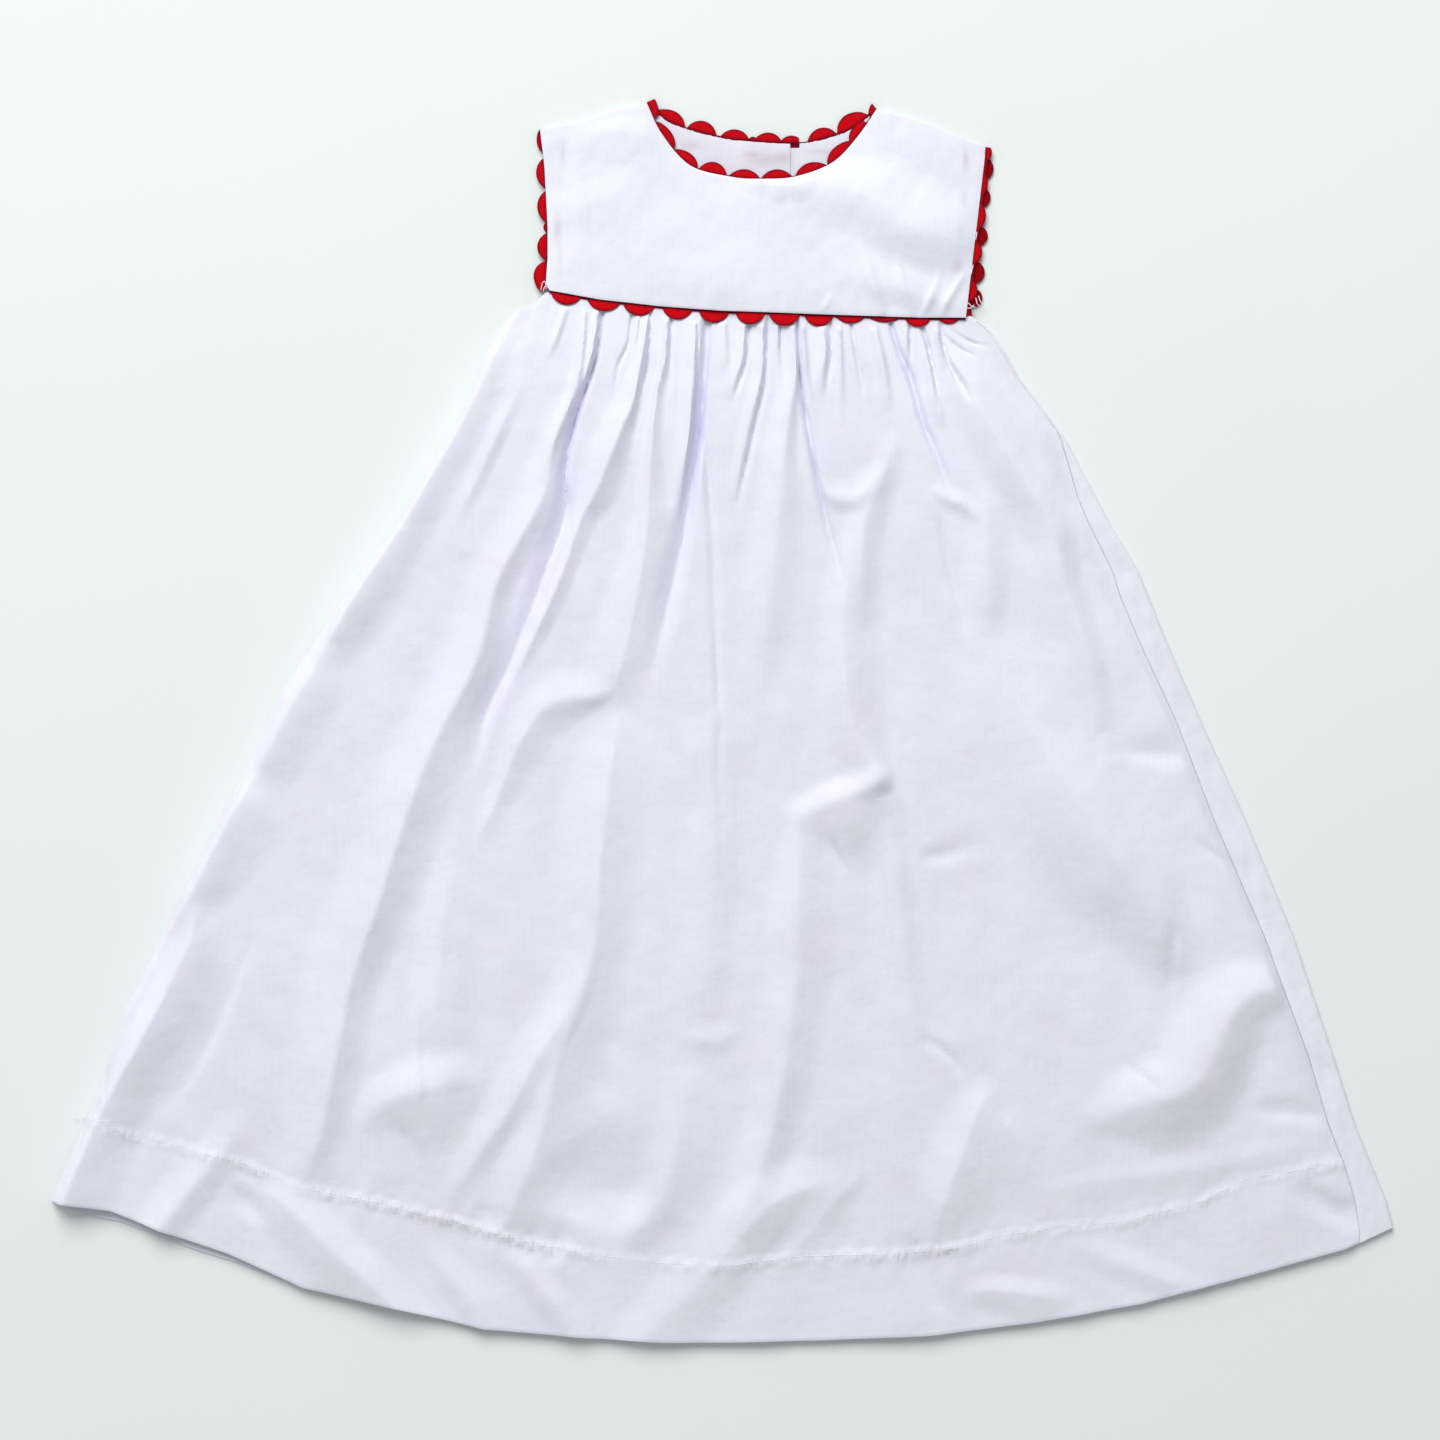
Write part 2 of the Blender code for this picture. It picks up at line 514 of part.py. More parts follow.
def back_yokes(finish):
    neck = smooth_path(BACK_NECK, 3)
    left_neck = [tuple(p) for p in neck if p[0] < LAP_TO - 1]
    right_neck = [tuple(p) for p in neck if p[0] > LAP_FROM + 1]
    left_upper = np.array(
        LEFT_SHOULDER[:-1] + left_neck + [(LAP_TO, float(look_up(BACK_NECK, LAP_TO)))]
    )
    right_upper = np.array(
        [(LAP_FROM, float(look_up(BACK_NECK, LAP_FROM)))] + right_neck + RIGHT_SHOULDER[1:]
    )
    extra = np.array([(x, float(look_up(BACK_NECK, x))) for x, _ in LAP_RAMP])
    left_upper = np.array(sorted(map(tuple, np.concatenate([left_upper, extra]))))
    x, y = yoke_grid(left_upper, BACK_YOKE_ROWS, right_foot=LAP_TO)
    under = ON_BACK * look_up(LAP_RAMP, x)
    sheet("back_yoke_left", raised(x, y, under + BACK_WALL), raised(x, y, under), finish)
    x, y = yoke_grid(right_upper, BACK_YOKE_ROWS, left_foot=LAP_FROM)
    sheet("back_yoke_right", raised(x, y, BACK_WALL), raised(x, y, 0.0), finish)


def ricrac(name, path, first_cusp, shows, under, finish):
    """A row of round scallops along a seam, on the left hand of someone who walks the path."""
    steps = np.hypot(*np.diff(path, axis=0).T)
    along = np.concatenate([[0], np.cumsum(steps)])
    spacing = RICRAC_PITCH / POINTS_PER_SCALLOP
    marks = np.arange(first_cusp - RICRAC_PITCH, along[-1], spacing)
    within = [s for s in marks if SHORTEST_PIECE < s < along[-1] - SHORTEST_PIECE]
    places = np.array([0.0] + within + [along[-1]])
    point = np.stack([np.interp(places, along, path[:, axis]) for axis in (0, 1)], axis=1)
    ahead = np.stack([np.interp(places + 1, along, path[:, axis]) for axis in (0, 1)], axis=1)
    behind = np.stack([np.interp(places - 1, along, path[:, axis]) for axis in (0, 1)], axis=1)
    run = ahead - behind
    run /= np.hypot(*run.T)[:, None]
    outward = np.stack([-run[:, 1], run[:, 0]], axis=1)
    part = ((places - first_cusp) / RICRAC_PITCH) % 1 * 2 - 1
    reach = RICRAC_BASE + (look_up(shows, places) - RICRAC_BASE) * np.sqrt(np.clip(1 - part ** 2, 0, 1))
    lines = [point + outward * SEAM_GAP, point + outward * (SEAM_GAP + reach)[:, None]]
    for line in lines:
        line[:, 1] = np.minimum(line[:, 1], SHOULDER_TOP)
    away = [np.full(len(places), SEAM_GAP), SEAM_GAP + reach]
    bottom = np.array(
        [[(px, py, under(px, py, far)) for (px, py), far in zip(line, fars)]
         for line, fars in zip(lines, away)]
    )
    top = bottom + np.array([0, 0, RICRAC_WALL])
    sheet(name, top, bottom, finish)


def ricracs(finish):
    def on_yoke(x, y, far):
        return ON_BACK + float(lap_lift(x)) + SEAM_GAP

    def on_floor(x, y, far):
        return 0.0

    def over_gathers(x, y, far):
        on_skirt = ON_BACK + float(lap_lift(x)) + FRONT_WALL
        return on_skirt + SEAM_RICRAC_LIFT + SEAM_RICRAC_SLOPE * far

    def on_lap(x, y, far):
        return ON_BACK * float(look_up(LAP_RAMP, x))

    seam = smooth_path(YOKE_SEAM[::-1], 8)
    ricrac("ricrac_yoke_seam", seam, 10.3, SEAM_RICRAC_SHOWS, over_gathers, finish)

    neck = smooth_path(FRONT_NECK, 8)
    ricrac("ricrac_neck_front", neck, 5.3, NECK_RICRAC_SHOWS, on_yoke, finish)

    back = smooth_path(BACK_NECK, 8)
    left = back[back[:, 0] <= LAP_TO + RICRAC_PAST_LAP]
    right = back[back[:, 0] >= LAP_FROM + RICRAC_INSIDE_LAP]
    ricrac("ricrac_neck_back_left", left, 5.1, NECK_RICRAC_SHOWS, on_lap, finish)
    ricrac("ricrac_neck_back_right", right, 8.7, [(0, RICRAC_ON_NECK)], on_floor, finish)

    left_side = np.array([YOKE_SEAM[0], LEFT_SHOULDER[0]], float)
    left_side[0] += (left_side[1] - left_side[0]) * UNDERARM_CLEAR
    right_side = np.array([RIGHT_SHOULDER[-1], YOKE_SEAM[-1]], float)
    right_side[1] += (right_side[0] - right_side[1]) * UNDERARM_CLEAR
    shows = [(0, RICRAC_ON_ARMHOLE)]
    ricrac("ricrac_armhole_left_front", left_side, 10.0, shows, on_yoke, finish)
    ricrac("ricrac_armhole_left_back", left_side, 10.0, shows, on_floor, finish)
    ricrac("ricrac_armhole_right_front", right_side, 2.0, shows, on_yoke, finish)
    ricrac("ricrac_armhole_right_back", right_side, 9.6, shows, on_floor, finish)


def build():
    clear_scene()
    dress = bpy.data.collections.new("Yoke dress")
    bpy.context.scene.collection.children.link(dress)
    cotton = material("white cotton", *WHITE_COTTON)
    braid = material("red braid", *RED_BRAID)
    front_skirt(cotton)
    back_skirt(cotton)
    front_yoke(cotton)
    back_yokes(cotton)
    ricracs(braid)


build()
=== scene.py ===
# A toddler's white yoke dress with red ric-rac, laid flat and seen from straight above.
# Tables are in millimetres, in the frame of the part: +X right, +Y towards the neck, +Z up.
import math

import bpy
import numpy as np
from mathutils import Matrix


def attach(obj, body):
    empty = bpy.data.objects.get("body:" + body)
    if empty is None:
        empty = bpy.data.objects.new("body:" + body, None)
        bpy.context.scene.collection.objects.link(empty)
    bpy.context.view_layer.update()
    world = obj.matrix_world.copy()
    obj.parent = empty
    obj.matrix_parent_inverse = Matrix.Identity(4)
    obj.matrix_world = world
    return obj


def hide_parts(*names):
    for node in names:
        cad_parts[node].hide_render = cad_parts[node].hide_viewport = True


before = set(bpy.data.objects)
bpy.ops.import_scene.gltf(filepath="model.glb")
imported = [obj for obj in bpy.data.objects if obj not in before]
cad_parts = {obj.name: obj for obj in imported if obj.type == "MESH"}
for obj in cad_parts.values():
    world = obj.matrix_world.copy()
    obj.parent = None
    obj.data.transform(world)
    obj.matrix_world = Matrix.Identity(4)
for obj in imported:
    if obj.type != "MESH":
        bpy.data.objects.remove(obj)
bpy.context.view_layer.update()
bpy.ops.object.select_all(action="DESELECT")
mm = 0.001


# Small tools for tables, curves and cloth surfaces

def lookUp(table, at):
    rows = sorted(table)
    return np.interp(at, [row[0] for row in rows], [row[1] for row in rows])


def between(start, end, share):
    return start + (end - start) * share


def softStep(t):
    t = np.clip(t, 0, 1)
    return t * t * (3 - 2 * t)


def bell(distance, width):
    return np.exp(-(distance / width) ** 2)


def smoothPath(points, perStretch):
    points = [np.array(p, float) for p in points]
    padded = [2 * points[0] - points[1], *points, 2 * points[-1] - points[-2]]
    found = []
    for before, start, end, after in zip(padded, padded[1:], padded[2:], padded[3:]):
        for step in range(perStretch):
            t = step / perStretch
            straight = 2 * start + (end - before) * t
            bend = (2 * before - 5 * start + 4 * end - after) * t ** 2
            found.append(0.5 * (straight + bend + (3 * start - before - 3 * end + after) * t ** 3))
    found.append(points[-1])
    return np.array(found)


def alongPath(path):
    return np.concatenate([[0], np.cumsum(np.hypot(*np.diff(path, axis=0).T))])


# A fold is a ridge, or below nought a furrow, whose height and reach change along its line
def foldHeight(x, y, folds):
    narrowest = 0.8
    total = np.zeros_like(x)
    for sharp, points in folds:
        line = smoothPath(points, 5)
        reach = line[:, 2:4].max()
        near = (x > line[:, 0].min() - reach) & (x < line[:, 0].max() + reach)
        near &= (y > line[:, 1].min() - reach) & (y < line[:, 1].max() + reach)
        px, py = x[near], y[near]
        nearest = np.full(px.shape, np.inf)
        width = np.ones_like(px)
        height = np.zeros_like(px)
        for here, ahead in zip(line, line[1:]):
            run = ahead - here
            offX, offY = px - here[0], py - here[1]
            share = np.clip((offX * run[0] + offY * run[1]) / (run[:2] @ run[:2]), 0, 1)
            away = np.hypot(offX - share * run[0], offY - share * run[1])
            onLeft = run[0] * offY - run[1] * offX > 0
            hand = np.where(onLeft, here[2] + share * run[2], here[3] + share * run[3])
            closer = away < nearest
            nearest = np.where(closer, away, nearest)
            width = np.where(closer, np.maximum(hand, narrowest), width)
            height = np.where(closer, here[4] + share * run[4], height)
        q = np.clip(nearest / width, 0, 1)
        total[near] += height * ((1 - sharp) * (1 - q ** 2) ** 2 + sharp * (1 - q) ** 2)
    return total


# An uneven surface of crossing waves, the same each run
def unevenness(x, y, wavelength, seed):
    waves = 10
    pick = np.random.RandomState(seed)
    total = np.zeros_like(x)
    for _ in range(waves):
        turn = pick.uniform(0, math.pi)
        length = wavelength * pick.uniform(0.6, 1.7)
        along = x * math.cos(turn) + y * math.sin(turn)
        total += np.sin(along * 2 * math.pi / length + pick.uniform(0, 6.28))
    return total / math.sqrt(waves)


# A grid is added, its points are moved to the cloth's shape, and Solidify gives the thickness.
# u and v are distances in the cloth itself, which the weave follows.
def clothSheet(name, x, y, z, u, v, thickness, rimOnly=False):
    rows, columns = x.shape
    bpy.ops.object.select_all(action="DESELECT")
    bpy.ops.mesh.primitive_grid_add(x_subdivisions=columns - 1, y_subdivisions=rows - 1, size=1)
    piece = bpy.context.object
    piece.name = name
    piece.data.name = name
    start = np.zeros(rows * columns * 3)
    piece.data.vertices.foreach_get("co", start)
    start = start.reshape(-1, 3)
    column = np.rint((start[:, 0] + 0.5) * (columns - 1)).astype(int)
    row = np.rint((start[:, 1] + 0.5) * (rows - 1)).astype(int)
    place = np.stack([x[row, column], y[row, column], z[row, column]], axis=1) * mm
    piece.data.vertices.foreach_set("co", place.ravel())
    corners = np.zeros(len(piece.data.loops), int)
    piece.data.loops.foreach_get("vertex_index", corners)
    flat = np.stack([u[row, column], v[row, column]], axis=1)[corners] * mm
    piece.data.uv_layers[0].name = "cloth"
    piece.data.uv_layers[0].data.foreach_set("uv", flat.ravel())
    piece.data.update()
    shell = piece.modifiers.new("thickness", "SOLIDIFY")
    shell.thickness = thickness * mm
    shell.offset = -1
    shell.use_rim_only = rimOnly
    bpy.ops.object.modifier_apply(modifier="thickness")
    bpy.ops.object.shade_smooth_by_angle(angle=math.radians(60))
    return piece


# Rows that run down the dress are turned over here, so that the sheet faces up
def laidSheet(name, x, y, z, thickness, rimOnly=False):
    return clothSheet(name, x[::-1], y[::-1], z[::-1], x[::-1], y[::-1], thickness, rimOnly)


def pointsOf(piece):
    spots = np.zeros(len(piece.data.vertices) * 3)
    piece.data.vertices.foreach_get("co", spots)
    return spots[0::3] / mm, spots[1::3] / mm


def paint(piece, name, amount):
    layer = piece.data.attributes.new(name, "FLOAT", "POINT")
    layer.data.foreach_set("value", amount)


def dress(piece, material, slot, *nodes):
    piece.data.materials.clear()
    piece.data.materials.append(material)
    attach(piece, "root")
    if nodes:
        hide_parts(*nodes)


# Camera, light and floor

studio = {
    "frameMm": 633.6,             # width and height of what the camera sees
    "centre": (-0.9, 0.4),
    "lens": 100,
    "sensor": 36,
    "sight": 20,                  # metres
    "lightFrom": (-0.75, 2.35, 2.5),  # metres
    "lightSize": 2.3,
    "lightPower": 117,
    "sky": (0.97, 0.985, 1.0, 1),
    "skyStrength": 0.427,
    "floor": (0.80, 0.845, 0.825),
    "floorSize": 4,               # metres
    "floorDrop": 0.4,
    "floorDarker": 0.975,
    "floorMottle": 5,
    "floorRoughness": 0.7,
    "floorShine": 0.2,
}


def aimAt(thing, target):
    away = np.array(thing.location) - np.array(target)
    flat = math.hypot(away[0], away[1])
    thing.rotation_euler = (math.atan2(flat, away[2]), 0, math.atan2(away[1], away[0]) + math.pi / 2)


def makeStudio():
    bpy.ops.object.camera_add()
    camera = bpy.context.object
    camera.name = "camera"
    camera.data.lens = studio["lens"]
    camera.data.sensor_width = studio["sensor"]
    height = studio["frameMm"] / studio["sensor"] * studio["lens"] * mm
    camera.location = (studio["centre"][0] * mm, studio["centre"][1] * mm, height)
    camera.data.clip_end = studio["sight"]
    bpy.context.scene.camera = camera
    bpy.ops.object.light_add(type="AREA", location=studio["lightFrom"])
    window = bpy.context.object
    window.name = "window"
    window.data.size = studio["lightSize"]
    window.data.energy = studio["lightPower"]
    aimAt(window, (0, 0, 0))
    sky = bpy.data.worlds.new("soft sky")
    sky.use_nodes = True
    glow = sky.node_tree.nodes["Background"]
    glow.inputs["Color"].default_value = studio["sky"]
    glow.inputs["Strength"].default_value = studio["skyStrength"]
    bpy.context.scene.world = sky
    bpy.context.scene.view_settings.view_transform = "Standard"
    bpy.ops.mesh.primitive_plane_add(size=studio["floorSize"], location=(0, 0, -studio["floorDrop"] * mm))
    floor = bpy.context.object
    floor.name = "floor"
    floor.data.materials.append(floorFinish())


# Materials

def node(tree, kind, **settings):
    made = tree.nodes.new(kind)
    for key, value in settings.items():
        setattr(made, key, value)
    return made


def mathNode(tree, operation, first, second=None, clamp=False):
    made = node(tree, "ShaderNodeMath", operation=operation, use_clamp=clamp)
    for socket, value in zip(made.inputs, (first, second)):
        if value is None:
            continue
        if isinstance(value, (int, float)):
            socket.default_value = value
        else:
            tree.links.new(value, socket)
    return made.outputs[0]


def noise(tree, where, scale, detail):
    made = node(tree, "ShaderNodeTexNoise")
    made.inputs["Scale"].default_value = scale
    made.inputs["Detail"].default_value = detail
    tree.links.new(where, made.inputs["Vector"])
    return made.outputs["Fac"]


def blend(tree, factor, first, second):
    made = node(tree, "ShaderNodeMix", data_type="RGBA")
    tree.links.new(factor, made.inputs["Factor"])
    for socket, colour in ((made.inputs["A"], first), (made.inputs["B"], second)):
        if isinstance(colour, tuple):
            socket.default_value = (*colour, 1)
        else:
            tree.links.new(colour, socket)
    return made.outputs["Result"]


def bump(tree, height, distance, below=None):
    made = node(tree, "ShaderNodeBump")
    made.inputs["Distance"].default_value = distance
    tree.links.new(height, made.inputs["Height"])
    if below is not None:
        tree.links.new(below, made.inputs["Normal"])
    return made.outputs[0]


def objectPlace(tree):
    return node(tree, "ShaderNodeTexCoord").outputs["Object"]


def painted(tree, name):
    return node(tree, "ShaderNodeAttribute", attribute_name=name).outputs["Fac"]


def startMaterial(name, roughness, shine=0.5):
    made = bpy.data.materials.new(name)
    made.use_nodes = True
    shader = made.node_tree.nodes["Principled BSDF"]
    shader.inputs["Roughness"].default_value = roughness
    shader.inputs["Specular IOR Level"].default_value = shine
    return made, made.node_tree, shader


def weaveGroup():
    group = bpy.data.node_groups.new("plain weave", "ShaderNodeTree")
    sockets = [
        ("Cloth", "INPUT", "NodeSocketVector"),
        ("Threads", "INPUT", "NodeSocketFloat"),
        ("Slub length", "INPUT", "NodeSocketFloat"),
        ("Height", "OUTPUT", "NodeSocketFloat"),
        ("Slubs", "OUTPUT", "NodeSocketFloat"),
    ]
    for name, side, kind in sockets:
        group.interface.new_socket(name, in_out=side, socket_type=kind)
    given = node(group, "NodeGroupInput")
    result = node(group, "NodeGroupOutput")
    split = node(group, "ShaderNodeSeparateXYZ")
    group.links.new(given.outputs["Cloth"], split.inputs[0])
    across, along = split.outputs[0], split.outputs[1]
    halfTurns = mathNode(group, "MULTIPLY", given.outputs["Threads"], math.pi)
    warp = mathNode(group, "SINE", mathNode(group, "MULTIPLY", across, halfTurns))
    weft = mathNode(group, "SINE", mathNode(group, "MULTIPLY", along, halfTurns))
    over = mathNode(group, "GREATER_THAN", mathNode(group, "MULTIPLY", warp, weft), 0.0)
    warpTop = mathNode(group, "MULTIPLY", mathNode(group, "ABSOLUTE", warp), over)
    under = mathNode(group, "SUBTRACT", 1.0, over)
    weftTop = mathNode(group, "MULTIPLY", mathNode(group, "ABSOLUTE", weft), under)
    group.links.new(mathNode(group, "ADD", warpTop, weftTop), result.inputs["Height"])
    stretched = node(group, "ShaderNodeCombineXYZ")
    perThread = mathNode(group, "MULTIPLY", across, given.outputs["Threads"])
    group.links.new(perThread, stretched.inputs[0])
    perSlub = mathNode(group, "DIVIDE", 1.0, given.outputs["Slub length"])
    group.links.new(mathNode(group, "MULTIPLY", along, perSlub), stretched.inputs[1])
    group.links.new(noise(group, stretched.outputs[0], scale=0.35, detail=2), result.inputs["Slubs"])
    return group


def weaveOn(tree, weave, finish):
    clothUv = node(tree, "ShaderNodeUVMap", uv_map="cloth")
    woven = node(tree, "ShaderNodeGroup", node_tree=weave)
    woven.inputs["Threads"].default_value = finish["threadsPerMetre"]
    woven.inputs["Slub length"].default_value = finish["slubLength"]
    tree.links.new(clothUv.outputs[0], woven.inputs["Cloth"])
    return woven, clothUv.outputs[0]


# Depths and lengths in the materials are in metres, and scales are per metre
cotton = {
    "light": (0.838, 0.872, 0.955),
    "dim": (0.830, 0.812, 0.915),
    "single": 0.965,              # one layer looks a little darker than the doubled yoke
    # painted shade: the lavender that the long valleys of the skirt are tinted with
    "valleyShade": (0.800, 0.765, 0.955),
    # grey-pink of what shows through the yoke, also used for the painted shade and lap-edge shadow on the
    # back yokes
    "showThroughAndShade": (0.60, 0.52, 0.60),
    "roughness": 0.78,
    "shine": 0.25,
    "cloudScale": 26.0,
    "threadsPerMetre": 2900.0,
    "slubLength": 0.012,
    "slubShare": 0.5,             # of the slubs in the tint
    "weaveDepth": 0.00004,
    "crinkleScale": 62.0,
    "crinkleDepth": 0.0009,
    "puckerScale": (420.0, 110.0),    # across and along the cloth
    "puckerDepth": 0.0013,
}


def cottonFinish(name, weave, shade, showThroughAndShade=False):
    made, tree, shader = startMaterial(name, cotton["roughness"], cotton["shine"])
    woven, clothUv = weaveOn(tree, weave, cotton)
    where = objectPlace(tree)
    cloudy = noise(tree, where, cotton["cloudScale"], detail=3)
    slubs = mathNode(tree, "MULTIPLY", woven.outputs["Slubs"], cotton["slubShare"])
    both = mathNode(tree, "ADD", cloudy, slubs)
    amount = mathNode(tree, "MULTIPLY", mathNode(tree, "SUBTRACT", both, 0.5, True), 2.0, True)
    light, dim = (tuple(c * shade for c in cotton[tone]) for tone in ("light", "dim"))
    colour = blend(tree, amount, light, dim)
    # Painted shade: the skirt's long valleys are tinted lavender
    colour = blend(tree, painted(tree, "valleyShade"), colour, cotton["valleyShade"])
    # Show-through marks, and on the back yokes painted shade and a painted shadow along the lap's edge
    if showThroughAndShade:
        colour = blend(tree, painted(tree, "showThroughAndShade"), colour, cotton["showThroughAndShade"])
    tree.links.new(colour, shader.inputs["Base Color"])
    crinkled = bump(tree, noise(tree, where, cotton["crinkleScale"], detail=4), cotton["crinkleDepth"])
    split = node(tree, "ShaderNodeSeparateXYZ")
    tree.links.new(clothUv, split.inputs[0])
    stretched = node(tree, "ShaderNodeCombineXYZ")
    for k, scale in enumerate(cotton["puckerScale"]):
        tree.links.new(mathNode(tree, "MULTIPLY", split.outputs[k], scale), stretched.inputs[k])
    pulled = noise(tree, stretched.outputs[0], scale=1, detail=1)
    puckers = mathNode(tree, "MULTIPLY", pulled, painted(tree, "pucker"))
    puckered = bump(tree, puckers, cotton["puckerDepth"], crinkled)
    surface = bump(tree, woven.outputs["Height"], cotton["weaveDepth"], puckered)
    tree.links.new(surface, shader.inputs["Normal"])
    return made


braid = {
    "bright": (0.60, 0.002, 0.006),
    # dark red that the painted shade at rims and seam, and the slubs, blend towards
    "deep": (0.150, 0.003, 0.014),
    "behind": 0.5,                # shade of the ric-rac in the back of the armholes
    "roughness": 0.85,
    "shine": 0.06,
    "threadsPerMetre": 1500.0,
    "slubLength": 0.006,
    "slubShare": 0.5,             # of the slubs in the dark tone, about their middle
    "slubMiddle": 0.4,
    "threadDepth": 0.00010,
}


def braidFinish(name, weave, shade=1.0):
    made, tree, shader = startMaterial(name, braid["roughness"], braid["shine"])
    woven, _ = weaveOn(tree, weave, braid)
    slubs = mathNode(tree, "SUBTRACT", woven.outputs["Slubs"], braid["slubMiddle"])
    uneven = mathNode(tree, "MULTIPLY", slubs, braid["slubShare"])
    # Painted shade at the scallops' rims and along the seam, with the slubs' uneven tone
    shadeAndSlubs = mathNode(tree, "ADD", painted(tree, "edgeShade"), uneven, True)
    bright = tuple(c * shade for c in braid["bright"])
    tree.links.new(blend(tree, shadeAndSlubs, bright, braid["deep"]), shader.inputs["Base Color"])
    ribbed = bump(tree, woven.outputs["Height"], braid["threadDepth"])
    tree.links.new(ribbed, shader.inputs["Normal"])
    return made


thread = {
    "light": (0.93, 0.93, 0.97),
    "dim": (0.80, 0.80, 0.88),
    "roughness": 0.6,
    "twistScale": 900,
    "twistWander": 1.5,
    "twistDepth": 0.00005,
}


def threadFinish():
    made, tree, shader = startMaterial("white sewing thread", thread["roughness"])
    twist = node(tree, "ShaderNodeTexWave")
    twist.inputs["Scale"].default_value = thread["twistScale"]
    twist.inputs["Distortion"].default_value = thread["twistWander"]
    tree.links.new(objectPlace(tree), twist.inputs["Vector"])
    turns = twist.outputs["Fac"]
    tree.links.new(blend(tree, turns, thread["light"], thread["dim"]), shader.inputs["Base Color"])
    tree.links.new(bump(tree, turns, thread["twistDepth"]), shader.inputs["Normal"])
    return made


def floorFinish():
    made, tree, shader = startMaterial("pale floor", studio["floorRoughness"], studio["floorShine"])
    mottle = noise(tree, objectPlace(tree), studio["floorMottle"], detail=4)
    darker = tuple(c * studio["floorDarker"] for c in studio["floor"])
    tree.links.new(blend(tree, mottle, studio["floor"], darker), shader.inputs["Base Color"])
    return made


# Skirt

